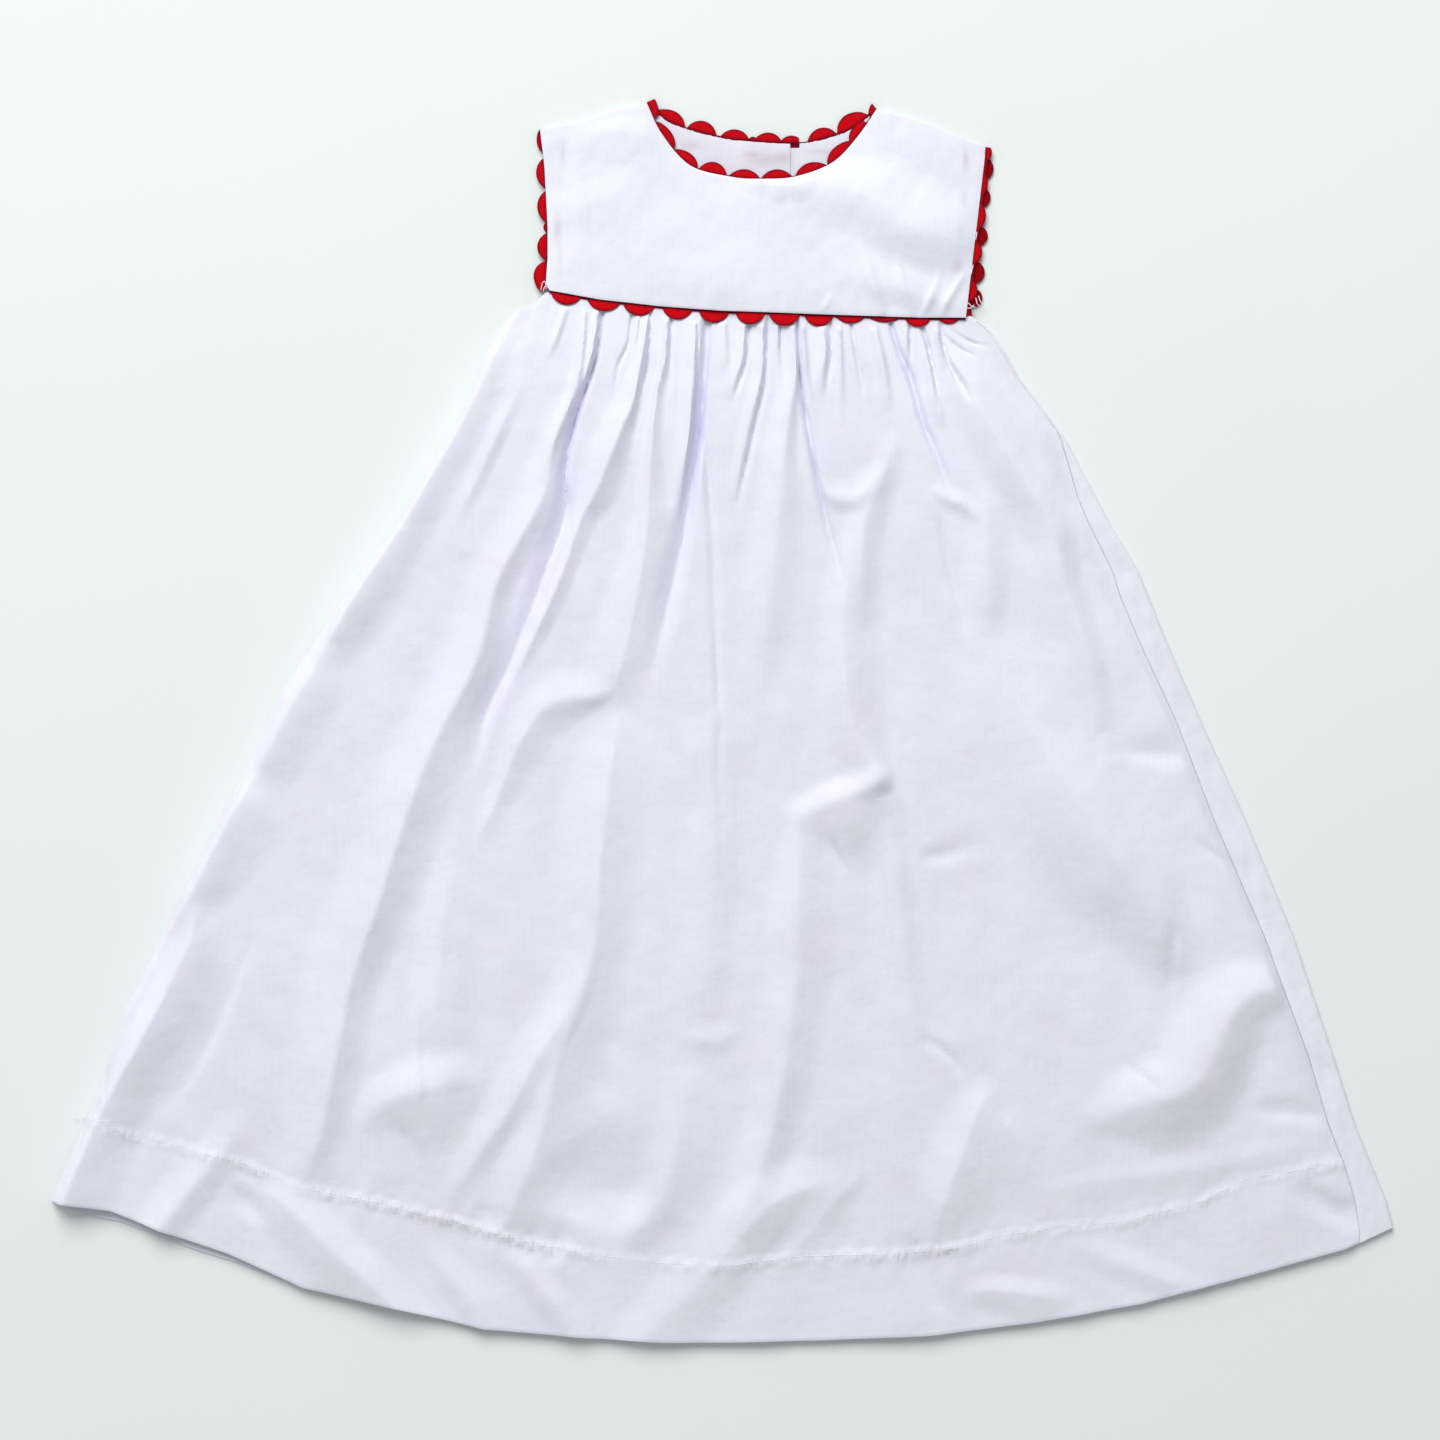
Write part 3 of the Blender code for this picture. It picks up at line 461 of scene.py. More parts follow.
skirt = {
    "onBack": 1.3,                # underside of the front panels, above the floor
    "frontWall": 1.5,             # the front's outer face lies this far above it
    "rimThickness": 0.8,
    "columns": 320,
    "rows": [                     # from the seam to the hem: share of the length, and how many rows
        (0, 0.12, 62), (0.12, 0.84, 158), (0.84, 0.94, 36), (0.94, 0.99, 20), (0.99, 1, 8),
    ],
    "columnGap": 0.4,
    "smoothing": 12,
    "tuckedUnder": 2,             # the top edge goes this far under the yoke between these x
    "tuckedBetween": (-74, 105),
    "tuckedFade": 3,
    "leftSide": [                 # y, x
        (180, -91), (172, -97), (161, -104), (143, -112), (128, -120), (88, -143), (44, -173),
        (11, -195), (-15, -206), (-45, -222), (-77, -238), (-106, -252), (-128, -263),
        (-158, -272), (-189, -285), (-211, -295),
    ],
    "rightSide": [                # y, x
        (176, 113), (172, 118), (163, 124), (152, 130), (139, 140), (124, 151), (88, 170),
        (66, 183), (36, 195), (-1, 211), (-43, 230), (-94, 251), (-148, 269), (-177, 278),
        (-211, 292), (-223, 295),
    ],
    "seamInset": [                # y, how far the side seam lies in from the right side
        (180, 1.0), (128, 1.2), (116, 4), (97, 8.5), (76, 10.5), (55, 12.5), (30, 12), (0, 11),
        (-43, 14), (-92, 13), (-149, 11), (-195, 12), (-222, 15),
    ],
    "seamGap": 0.15,
    "frontHem": [                 # x, y
        (-295, -211), (-269, -215), (-246, -224), (-217, -234), (-184, -249), (-142, -258),
        (-105, -267), (-58, -271), (-24, -273), (1, -273), (44, -272), (91, -270), (139, -264),
        (184, -256), (230, -244), (274, -232), (295, -223),
    ],
    "backHemBelow": [             # x, how far the back's hem shows below the front's
        (-295, 0), (-278, 4.6), (-262, 3.2), (-252, 3.4), (-228, 3.6), (-197, 1.5), (-180, 0), (295, 0),
    ],
    "stitchPull": [               # x, how much the stitches pucker the cloth
        (-295, 0.4), (-265, 0.8), (-240, 0.5), (-210, 1.1), (-190, 0.6), (-170, 1.0), (-140, 1.3),
        (-115, 1.2), (-85, 1.4), (-60, 0.8), (-45, 0.3), (0, 0.7), (35, 0.6), (60, 0.8), (90, 1.2),
        (112, 0.9), (150, 0.5), (205, 0.7), (235, 0.4), (265, 0.8), (295, 0.4),
    ],
    "stitchLine": [               # x, y
        (-295, -174), (-274, -175), (-265, -180), (-241, -186), (-211, -194), (-184, -205),
        (-158, -210), (-119, -219), (-86, -229), (-58, -234), (-27, -238), (1, -239), (34, -235),
        (77, -234), (105, -231), (122, -226), (149, -222), (175, -220), (210, -211), (230, -201),
        (272, -194), (295, -188),
    ],
    "levels": [168, 150, 124, 88, 44, 0, -44, -96, -149, -193],
    "grain": {                    # x on the seam, at each level, at the hem
        "yokeCorner": (-76, -82, -89, -101, -121, -148, -172, -193, -219, -239, -253, -261),
        "leftValley": (-51, -54, -59, -66, -76, -88, -106, -131, -159, -170, -178, -186),
        "deepValley": (-7, -8, -9, -10, -17, -28, -36, -46, -55, -62, -69, -77),
        "middle": (15, 15, 12, 9, 7, 3, 0, -1, -3, -4, -7, -10),
        "beakValley": (33, 34, 35, 39, 47, 53, 53, 48, 44, 42, 41, 40),
        "rightValley": (73, 77, 83, 92, 102, 106, 113, 118, 122, 127, 128, 127),
        "underarmValley": (99, 103, 109, 122, 143, 161, 176, 188, 201, 209, 213, 213),
    },
    "gatherRise": [               # how far below the seam, how high the gathered cloth stands
        (-10, 0), (0, 0.2), (6, 0.9), (12, 1.7), (20, 2.6), (36, 3.8), (60, 4.6), (90, 4.4), (140, 4.0),
    ],
    "hemRise": 0.26,              # share of that height which is left at the hem
    "hemReach": 120.0,
    "hemLift": [                  # x, how far the hem stands up from what it lies on
        (-295, 0.9), (-286, 1.4), (-270, 1.1), (-240, 0.3), (-200, 0), (-150, 0), (-80, 0.4),
        (-20, 0.1), (40, 0.3), (110, 0.1), (180, 0), (240, 0), (295, 0),
    ],
    "hemLiftReach": 42.0,
    "edgeSoftness": 3.2,
    "softerRight": 6.0,           # more of it at the right, from softerFrom up
    "softerFrom": 20.0,
    "softerOver": 60.0,
    "gatherSharpness": 0.5,
    "foldStart": 6.0,             # how far below the seam the folds reach their height
    "foldEdge": 1.3,              # the folds die out closer to the sides than the gathered cloth does
    "flatEdge": 1.5,
    "waves": [                    # height, squash along the dress, wavelength, seed
        (0.35, 0.6, 46, 4), (0.10, 0.7, 17, 5),
    ],
    "waveStart": 30.0,
    "lowest": -1.7,               # a valley lies on the back panel
    "ricracReach": 4.6,           # scallops keep the cloth below them down to here
    "ricracFade": 7.0,
    "ricracSlope": 0.22,
    "ricracRoom": 9.0,
    "pressed": 0.05,              # left of the cloth's height right at the seam
    "lapFade": 10.0,
    "leftRoll": (1.7, 1.4),       # how far an edge rolls down, and over what width
    "rightRoll": (0.1, 0.9),
    "rightRollLow": 0.35,         # more of it below rightRollFrom
    "rightRollFrom": -20.0,
    "rightRollOver": 60.0,
    "hemRoll": (0.35, 0.6),
}

# Folds of the skirt. Each has its sharpness and then the points of its line: x, y, how far it
# reaches to the left and to the right hand of someone walking along it, and its height there
skirtFolds = {
    "underarmLeft": (0.45, [
        (-99, 176, 10, 4, 0), (-105, 163, 16, 5, 3.0), (-114, 143, 17, 5, 4.2), (-127, 117, 17, 6, 4.4),
        (-139, 94, 18, 6, 5.0), (-154, 68, 20, 7, 5.4), (-166, 46, 20, 7, 4.6), (-179, 24, 12, 8, 0)]),
    "streakLeft": (0.5, [
        (-85, 154, 5, 5, 0), (-99, 124, 5, 6, 1.4), (-109, 102, 5, 6, 1.1), (-120, 80, 5, 5, 0)]),
    "sideLeftMiddle": (0.4, [
        (-172, 34, 10, 8, 0), (-180, 20, 18, 9, 3.0), (-190, 4, 22, 10, 3.8), (-199, -14, 20, 10, 3.0),
        (-206, -28, 14, 8, 0)]),
    "sideLeftLow": (0.4, [
        (-203, -22, 12, 8, 0), (-211, -34, 24, 8, 4.2), (-219, -48, 26, 8, 5.0), (-228, -64, 22, 8, 4.6),
        (-237, -80, 16, 8, 3.4), (-244, -94, 10, 8, 0)]),
    "cornerLeft": (0.4, [
        (-228, -80, 12, 8, 0), (-233, -96, 20, 9, 4.4), (-240, -112, 22, 9, 6.0), (-249, -130, 23, 9, 6.8),
        (-259, -148, 23, 9, 7.0), (-267, -162, 22, 8, 6.8), (-275, -178, 22, 8, 6.6),
        (-281, -191, 24, 7, 6.4), (-286, -203, 24, 6, 6.0), (-293, -222, 24, 6, 5.6)]),
    "cornerValley": (0.5, [
        (-205, -94, 3, 6, 0), (-213, -113, 4, 8, -0.8), (-221, -133, 4, 8, -0.9), (-231, -152, 4, 8, -0.8),
        (-244, -172, 3, 8, 0)]),
    "long": (0.65, [
        (-68, 143, 4, 8, 0), (-73, 124, 7, 10, 2.0), (-79, 97, 12, 14, 3.8), (-98, 62, 10, 16, 4.4),
        (-107, 27, 11, 18, 4.8), (-125, -8, 17, 20, 5.4), (-139, -44, 19, 22, 6.0), (-150, -79, 17, 24, 6.0),
        (-162, -114, 14, 24, 5.4), (-169, -149, 14, 24, 5.0), (-177, -184, 13, 18, 3.8),
        (-189, -212, 12, 14, 0)]),
    "longValley": (0.8, [
        (-52.5, 180, 1.8, 1.8, -3.4), (-55.5, 159, 2.2, 2.2, -4.4), (-61.5, 141, 2.4, 2.4, -4.8),
        (-66, 126, 2.6, 3, -5.0), (-69, 108, 2.6, 4.5, -4.8), (-68, 92, 2.6, 8, -3.8),
        (-75, 72, 3.5, 8, -3.2), (-84, 48, 4.5, 8, -2.8), (-93, 25, 5, 9, -2.6), (-103, 4, 5, 9, -2.4),
        (-106, -8, 5, 8, -1.4), (-110, -25, 4, 6, 0)]),
    "lobeLeft": (0.6, [
        (-32.5, 178, 1.5, 3, 1.8), (-34, 165, 2, 4, 3.0), (-36, 154, 3, 6, 3.8), (-38.5, 141, 5, 9, 4.3),
        (-44, 128, 7, 11, 4.6), (-50, 113, 10, 12, 4.6), (-55, 101, 11, 10, 4.0), (-62, 88, 8, 5, 3.0),
        (-69, 68, 7, 3, 2.6), (-76, 51, 7, 3, 2.4), (-83, 36, 6, 3, 1.6), (-91, 18, 4, 4, 0)]),
    "middleUpper": (0.55, [
        (-24, 177, 1.5, 3, 1.8), (-25, 159, 2, 3, 2.9), (-27.5, 148, 3, 3, 2.9), (-29, 139, 4, 3.5, 2.8),
        (-31, 120, 6, 5, 3.0), (-32, 100, 9, 7, 3.6), (-32.5, 88, 13, 8, 4.0), (-36, 62, 15, 13, 4.2),
        (-41, 36, 16, 18, 3.6), (-46, 18, 15, 20, 2.2), (-51, 2, 12, 16, 0)]),
    "crossCrease": (0.55, [
        (-47, 14, 3, 8, 0), (-55, 11, 7, 13, 2.4), (-63, 10, 11, 15, 3.2), (-72, 8.5, 16, 15, 3.2),
        (-81, 2, 15, 12, 2.7), (-90, -13, 13, 9, 2.4), (-97, -31, 9, 7, 1.7), (-104, -47, 6, 5, 0.7),
        (-109, -58, 3, 4, 0)]),
    "deepValley": (0.75, [
        (-6, 180, 2.5, 2.5, -4.0), (-7, 159, 2.5, 4, -5.2), (-8.5, 141, 2.5, 5, -5.8),
        (-10, 124, 3, 5, -5.6), (-13, 106, 4, 6, -4.8), (-17, 80, 5.5, 8, -3.8), (-22, 58, 7, 9, -2.8),
        (-26.5, 40, 8, 9, -1.8), (-30, 26, 7, 8, -0.7), (-33, 16, 6, 6, 0)]),
    "deepBranch": (0.6, [
        (-9, 130, 3, 3, 0), (-6, 108, 3, 3.5, -2.2), (-4, 80, 3, 4, -1.7), (-3, 50, 3, 4, -1.5),
        (-1.5, 16, 2.5, 3, -1.5), (-1, 3, 4, 4, -0.3), (-1, -8, 3, 4, -1.2), (-1, -26, 4, 4, -0.7),
        (0, -60, 4, 4, -0.5), (0, -84, 3, 3, 0)]),
    "middleLower": (0.65, [
        (-45, 6, 12, 10, 0), (-48, -17, 18, 18, 3.6), (-51, -44, 20, 24, 4.4), (-54, -70, 20, 24, 4.8),
        (-55.5, -96, 19, 20, 4.6), (-62, -123, 20, 17, 4.4), (-72, -149, 20, 15, 4.1),
        (-78, -176, 20, 15, 3.8), (-86, -200, 20, 14, 3.2), (-96, -222, 16, 12, 2.0),
        (-105, -242, 12, 10, 0)]),
    "middleSoft": (0.25, [
        (-6, 4, 8, 16, 0), (-4, -30, 11, 18, 1.2), (-3, -60, 12, 18, 1.5), (-5, -95, 13, 18, 1.6),
        (-8, -120, 13, 18, 1.2), (-12, -150, 12, 16, 0)]),
    "pinchMiddle": (0.5, [
        (9, -135, 5, 5, 0), (0, -139, 8, 9, 1.2), (-8, -140, 8, 9, 1.1), (-17, -138, 5, 5, 0)]),
    "billowLeft": (0.4, [
        (32, 175, 1.2, 5, 1.6), (33, 158, 1.4, 6, 2.4), (32, 148, 2, 7, 2.5), (29, 132, 5, 9, 3.0),
        (27, 115, 7, 11, 3.4), (25.5, 97, 12, 12, 3.8), (23, 71, 14, 14, 3.4), (20, 44, 14, 14, 2.4),
        (17, 20, 14, 12, 1.2), (15, -12, 14, 12, 0)]),
    "valleyShort": (0.7, [
        (20, 177, 1.6, 1.6, -2.4), (18.5, 150, 2, 2, -2.8), (14.5, 132, 2.5, 2.5, -2.6),
        (11, 115, 2.5, 2.5, -2.4), (8, 101, 2.5, 2.5, -1.0), (6, 92, 3, 3, 0)]),
    "beakValley": (0.8, [
        (32.5, 180, 1.5, 1.5, -2.8), (34, 154, 1.8, 1.8, -4.0), (35.5, 141, 2, 2, -4.3),
        (38, 128, 2.2, 2.2, -4.5), (41, 110, 2, 2.4, -4.3), (44, 97, 2, 3, -3.4), (47, 84, 2, 3, -2.8),
        (51, 70, 2, 3, -1.3), (54, 60, 3, 3, 0)]),
    "pocketMiddle": (0.6, [
        (74, 114, 6, 6, 0), (66, 104, 7, 9, 1.4), (58, 97, 6, 11, 2.0), (50, 97, 5, 11, 2.0),
        (43, 103, 4, 7, 0.7), (40, 109, 3, 5, 0)]),
    "besidePocket": (0.4, [
        (76, 127, 8, 8, 0), (70, 106, 9, 9, 2.2), (63, 88, 10, 10, 2.6), (61, 66, 10, 10, 2.0),
        (62, 40, 12, 8, 0)]),
    "toBeak": (0.45, [
        (57, 84, 8, 8, 0), (55, 62, 15, 12, 2.4), (53, 40, 18, 13, 3.4), (54, 18, 19, 13, 4.0),
        (57, 0, 17, 15, 4.4), (62, -14, 13, 16, 4.6), (69, -24, 8, 16, 4.4), (74, -31, 5, 10, 0)]),
    "beak": (0.3, [
        (75, -22, 8, 8, 0), (69, -26.5, 24, 9, 2.8), (61, -31, 34, 10, 4.8), (50, -35, 38, 11, 5.2),
        (40, -39, 30, 9, 3.0), (32, -46, 16, 8, 0)]),
    "belowBeak": (0.5, [
        (32, -34, 8, 8, 0), (34, -50, 14, 10, 2.8), (33, -79, 18, 14, 4.0), (33, -105, 18, 16, 4.2),
        (31, -123, 17, 16, 4.2), (28, -149, 16, 16, 4.0), (24, -167, 15, 15, 3.8), (19, -189, 13, 15, 3.4),
        (12, -208, 12, 14, 2.4), (5, -226, 10, 12, 0)]),
    "rightOfBeak": (0.4, [
        (74, -42, 5, 8, 0), (76, -60, 7, 14, 1.8), (78, -80, 8, 16, 1.9), (80, -100, 8, 16, 1.7),
        (83, -125, 8, 14, 1.0), (86, -152, 7, 10, 0)]),
    "star": (0.6, [
        (87, -60.5, 3, 2, 0), (90, -60, 6, 4, -1.1), (97, -59, 9, 6, -1.5), (106, -56, 10, 8, -0.9),
        (118, -52, 9, 7, 0)]),
    "rightValley": (0.6, [
        (73.5, 177, 1.6, 1.6, -3.0), (77.5, 163, 2, 2, -3.6), (83, 150, 2.4, 2.6, -3.6),
        (88, 132, 2.4, 3, -3.2), (92.5, 121, 2.4, 3.2, -2.6), (97, 110, 2.6, 3.4, -1.8),
        (100, 101, 3, 3.5, -0.7), (102, 95, 3, 3, 0)]),
    "rightLine": (0.5, [
        (94, 92, 3, 3, 0), (98, 76, 3.5, 4, -1.3), (102, 60, 3.5, 4, -1.3), (106, 44, 3.5, 3.5, -0.7),
        (108, 36, 3, 3, 0)]),
    "pocketRight": (0.6, [
        (114, 86, 4, 5, 0), (106, 94, 5, 6, 1.8), (98, 98, 5, 6, 1.6), (91, 103, 4, 4, 0)]),
    "plateRight": (0.3, [
        (116, 106, 8, 8, 0), (116, 84, 12, 10, 2.0), (116, 66, 12, 11, 2.3), (117, 50, 10, 10, 1.5),
        (118, 36, 8, 8, 0)]),
    "underarmRight": (0.4, [
        (98, 165, 5, 6, 0), (107, 147, 12, 12, 3.2), (122, 121, 13, 15, 5.0), (135, 101, 12, 17, 5.4),
        (145, 84, 11, 16, 4.8), (149, 64, 10, 15, 4.0), (155, 46, 9, 15, 3.8), (161, 26, 9, 16, 3.4),
        (165, 8, 8, 16, 1.8), (168, -6, 8, 12, 0)]),
    "edgeRight": (0.3, [
        (116, 160, 6, 8, 0), (132, 140, 6, 10, 1.6), (144, 122, 6, 11, 1.9), (153, 102, 6, 11, 1.4),
        (158, 86, 6, 9, 1.0), (165, 68, 5, 8, 0.6), (171, 52, 4, 6, 0)]),
    "diagonal": (0.3, [
        (114, 44, 18, 20, 0), (126, 16, 24, 30, 3.4), (141, -14, 26, 36, 6.4), (158, -40, 27, 38, 8.2),
        (176, -66, 25, 34, 8.0), (190, -88, 20, 26, 5.6), (200, -114, 14, 16, 0)]),
    "billowRight": (0.3, [
        (262, -116, 8, 6, 0), (247, -117, 13, 12, 2.8), (234, -119, 17, 18, 4.8), (224, -126, 20, 23, 6.2),
        (217, -140, 22, 26, 7.0), (211, -153, 24, 27, 7.2), (202, -162, 26, 26, 7.0),
        (191, -166, 26, 22, 6.0), (179, -169, 22, 18, 3.8), (168, -174, 16, 14, 1.6),
        (160, -180, 10, 10, 0)]),
    "billowInside": (0.6, [
        (197, -86, 3, 5, 0), (198, -96, 3, 6, -1.1), (197.5, -110, 3, 6, -1.0), (197, -127, 3, 5, 0)]),
    "billowArc": (0.7, [
        (175, -145, 2, 3, 0), (180, -152, 2, 3, -1.3), (188, -158, 2, 3, -1.3), (197, -163, 2, 3, 0)]),
    "seamPuckerHigh": (0.6, [
        (158, 74, 3, 3, 0), (163, 69, 3, 3, -1.2), (168, 64, 3, 3, 0)]),
    "seamPuckerUpper": (0.5, [
        (166, -13, 4, 3, 0), (178, -13.5, 9, 5, -0.8), (190, -14.5, 13, 7, -1.5), (200, -15, 13, 7, -1.5),
        (208, -15, 8, 5, 0)]),
    "seamPuckerMiddle": (0.7, [
        (207, -51, 3, 3, 0), (214, -57, 3, 3, -1.5), (221, -63, 3, 3, -1.2), (227, -69, 3, 3, 0)]),
    "seamPuckerLower": (0.5, [
        (229, -170, 4, 3, 0), (239, -171, 8, 6, -1.0), (251, -172, 10, 7, -1.4), (262, -173, 9, 7, -1.3),
        (269, -173, 6, 4, 0)]),
    "hemRidgeRight": (0.3, [
        (138, -206, 5, 5, 0), (165, -202, 7, 10, 0.5), (200, -198, 8, 10, 0.7), (235, -191, 8, 10, 0.6),
        (264, -186, 5, 5, 0)]),
    "trapeze": (0.75, [
        (121, -162, 14, 8, 0), (114, -167, 28, 13, 2.6), (108, -182, 36, 16, 3.8), (101, -200, 38, 16, 3.8),
        (96, -216, 32, 14, 2.8), (92, -232, 22, 10, 0)]),
    "arrow": (0.6, [
        (107, -158, 2.5, 2.5, 0), (100, -147, 3, 3, -1.6), (93, -142, 3, 3, -1.3), (85, -139, 3, 3, 0)]),
    "crestLeft": (0.4, [
        (-116, -60, 10, 10, 0), (-122, -85, 16, 12, 2.0), (-124, -108, 20, 14, 3.0),
        (-125, -132, 20, 14, 3.3), (-120, -150, 16, 14, 2.0), (-116, -162, 12, 12, 0)]),
    "patch": (0.35, [
        (-102, -157, 14, 10, 0), (-114, -158, 26, 15, 2.8), (-127, -161, 32, 18, 4.8),
        (-141, -164, 28, 16, 4.2), (-151, -170, 18, 12, 2.2), (-159, -182, 12, 8, 0)]),
    "patchLine": (0.7, [
        (-134, -126, 2, 3, 0), (-133, -145, 2, 4, 1.5), (-131.5, -158, 2, 4, 1.5), (-131, -166, 2, 3, 0)]),
    "diagonalLeft": (0.5, [
        (-58, -100, 8, 12, 0), (-66, -124, 8, 14, 2.0), (-82, -149, 9, 14, 2.9), (-93, -171, 9, 14, 2.9),
        (-106, -189, 9, 12, 2.2), (-119, -212, 8, 10, 0)]),
    "cornerPlane": (0.5, [
        (-208, -172, 10, 12, 0), (-222, -192, 12, 14, 2.6), (-233, -206, 12, 15, 3.4),
        (-244, -220, 12, 14, 3.4), (-255, -238, 12, 12, 3.0)]),
    "hemLeftPit": (0.3, [
        (-215, -203, 6, 5, 0), (-209, -211, 8, 8, -1.8), (-201, -221, 7, 6, 0)]),
    "hemLeft": (0.4, [
        (-205, -203, 8, 10, 0), (-192, -212, 12, 16, 3.2), (-180, -223, 14, 20, 4.6),
        (-166, -237, 14, 22, 4.8), (-152, -249, 14, 22, 4.4), (-134, -268, 14, 20, 4.0)]),
    "dent": (0.1, [
        (-80, -194, 20, 14, 0), (-66, -202, 32, 18, -2.4), (-50, -206, 36, 20, -3.6),
        (-38, -207, 30, 18, -2.8), (-25, -210, 16, 12, 0)]),
    "rightOfDent": (0.35, [
        (-16, -152, 12, 10, 0), (-18, -170, 18, 12, 2.0), (-20, -187, 20, 14, 2.8), (-25, -203, 18, 14, 2.8),
        (-34, -219, 14, 12, 2.0), (-47, -234, 10, 10, 0)]),
    "hemDiagonal": (0.35, [
        (56, -199, 10, 10, 0), (40, -204, 16, 15, 2.4), (24, -210, 20, 17, 4.2), (13, -220, 18, 19, 4.8),
        (3, -232, 18, 20, 4.2), (-8, -245, 19, 20, 3.0), (-20, -257, 22, 18, 2.4), (-32, -270, 24, 16, 2.2),
        (-40, -282, 24, 14, 2.0)]),
    "besideDiagonal": (0.5, [
        (64, -195, 6, 8, 0), (52, -208, 8, 11, 1.2), (42, -220, 9, 11, 1.3), (32, -232, 9, 10, 0.9),
        (21, -246, 8, 8, 0)]),
    "hemBandLeft": (0.4, [
        (-94, -230, 6, 7, 0), (-84, -244, 9, 9, 1.8), (-74, -256, 10, 10, 2.4), (-64, -272, 10, 10, 1.6)]),
    "stitchPinchLeft": (0.4, [
        (-110, -213, 4, 5, 0), (-100, -217, 8, 8, -0.8), (-90, -217, 4, 5, 0)]),
    "stitchPinch": (0.4, [
        (-104, -222, 8, 6, 0), (-90, -228, 14, 11, -1.5), (-76, -229, 14, 12, -1.6), (-62, -224, 8, 6, 0)]),
    "hemBandMiddle": (0.4, [
        (78, -224, 6, 6, 0), (86, -238, 9, 9, -1.5), (94, -252, 9, 9, -1.2), (100, -262, 6, 6, 0)]),
    "hemWedge": (0.4, [
        (104, -252, 6, 6, 0), (120, -250, 8, 12, 1.6), (138, -252, 8, 14, 1.8), (156, -254, 6, 8, 0)]),
    "hemWaveLeft": (0.4, [
        (-132, -228, 6, 6, 0), (-122, -240, 10, 9, 1.6), (-112, -254, 10, 9, 2.0), (-104, -268, 8, 8, 1.2)]),
    "hemWaveRight": (0.4, [
        (150, -228, 6, 6, 0), (168, -236, 10, 9, 1.2), (190, -244, 10, 9, 1.4), (210, -250, 8, 8, 0.8)]),
    "hemBandRight": (0.4, [
        (252, -203, 6, 6, 0), (266, -213, 8, 8, -2.6), (276, -219, 8, 8, -2.6), (287, -229, 8, 8, 0)]),
}

# Painted shade: a faint lavender tint along the long valleys, where shade falls, with an amount in the last
# column
paintedValleyShade = [
    (0.2, [
        (-53, 182, 3, 3, 0.2), (-59, 167, 4, 4, 0.45), (-66, 126, 6, 7, 0.6), (-72, 96, 11, 10, 0.65),
        (-84, 60, 14, 12, 0.65), (-97, 16, 14, 12, 0.5), (-106, -20, 12, 10, 0)]),
    (0.2, [
        (-5, 180, 4, 4, 0.35), (-8, 140, 6, 6, 0.65), (-12, 112, 8, 7, 0.65), (-19, 80, 9, 9, 0.55),
        (-27, 45, 8, 8, 0.3), (-32, 20, 6, 6, 0)]),
    (0.2, [
        (73, 177, 2.5, 2.5, 0.2), (83, 150, 4, 4, 0.45), (93, 121, 4, 4, 0.35), (100, 98, 3, 3, 0)]),
]

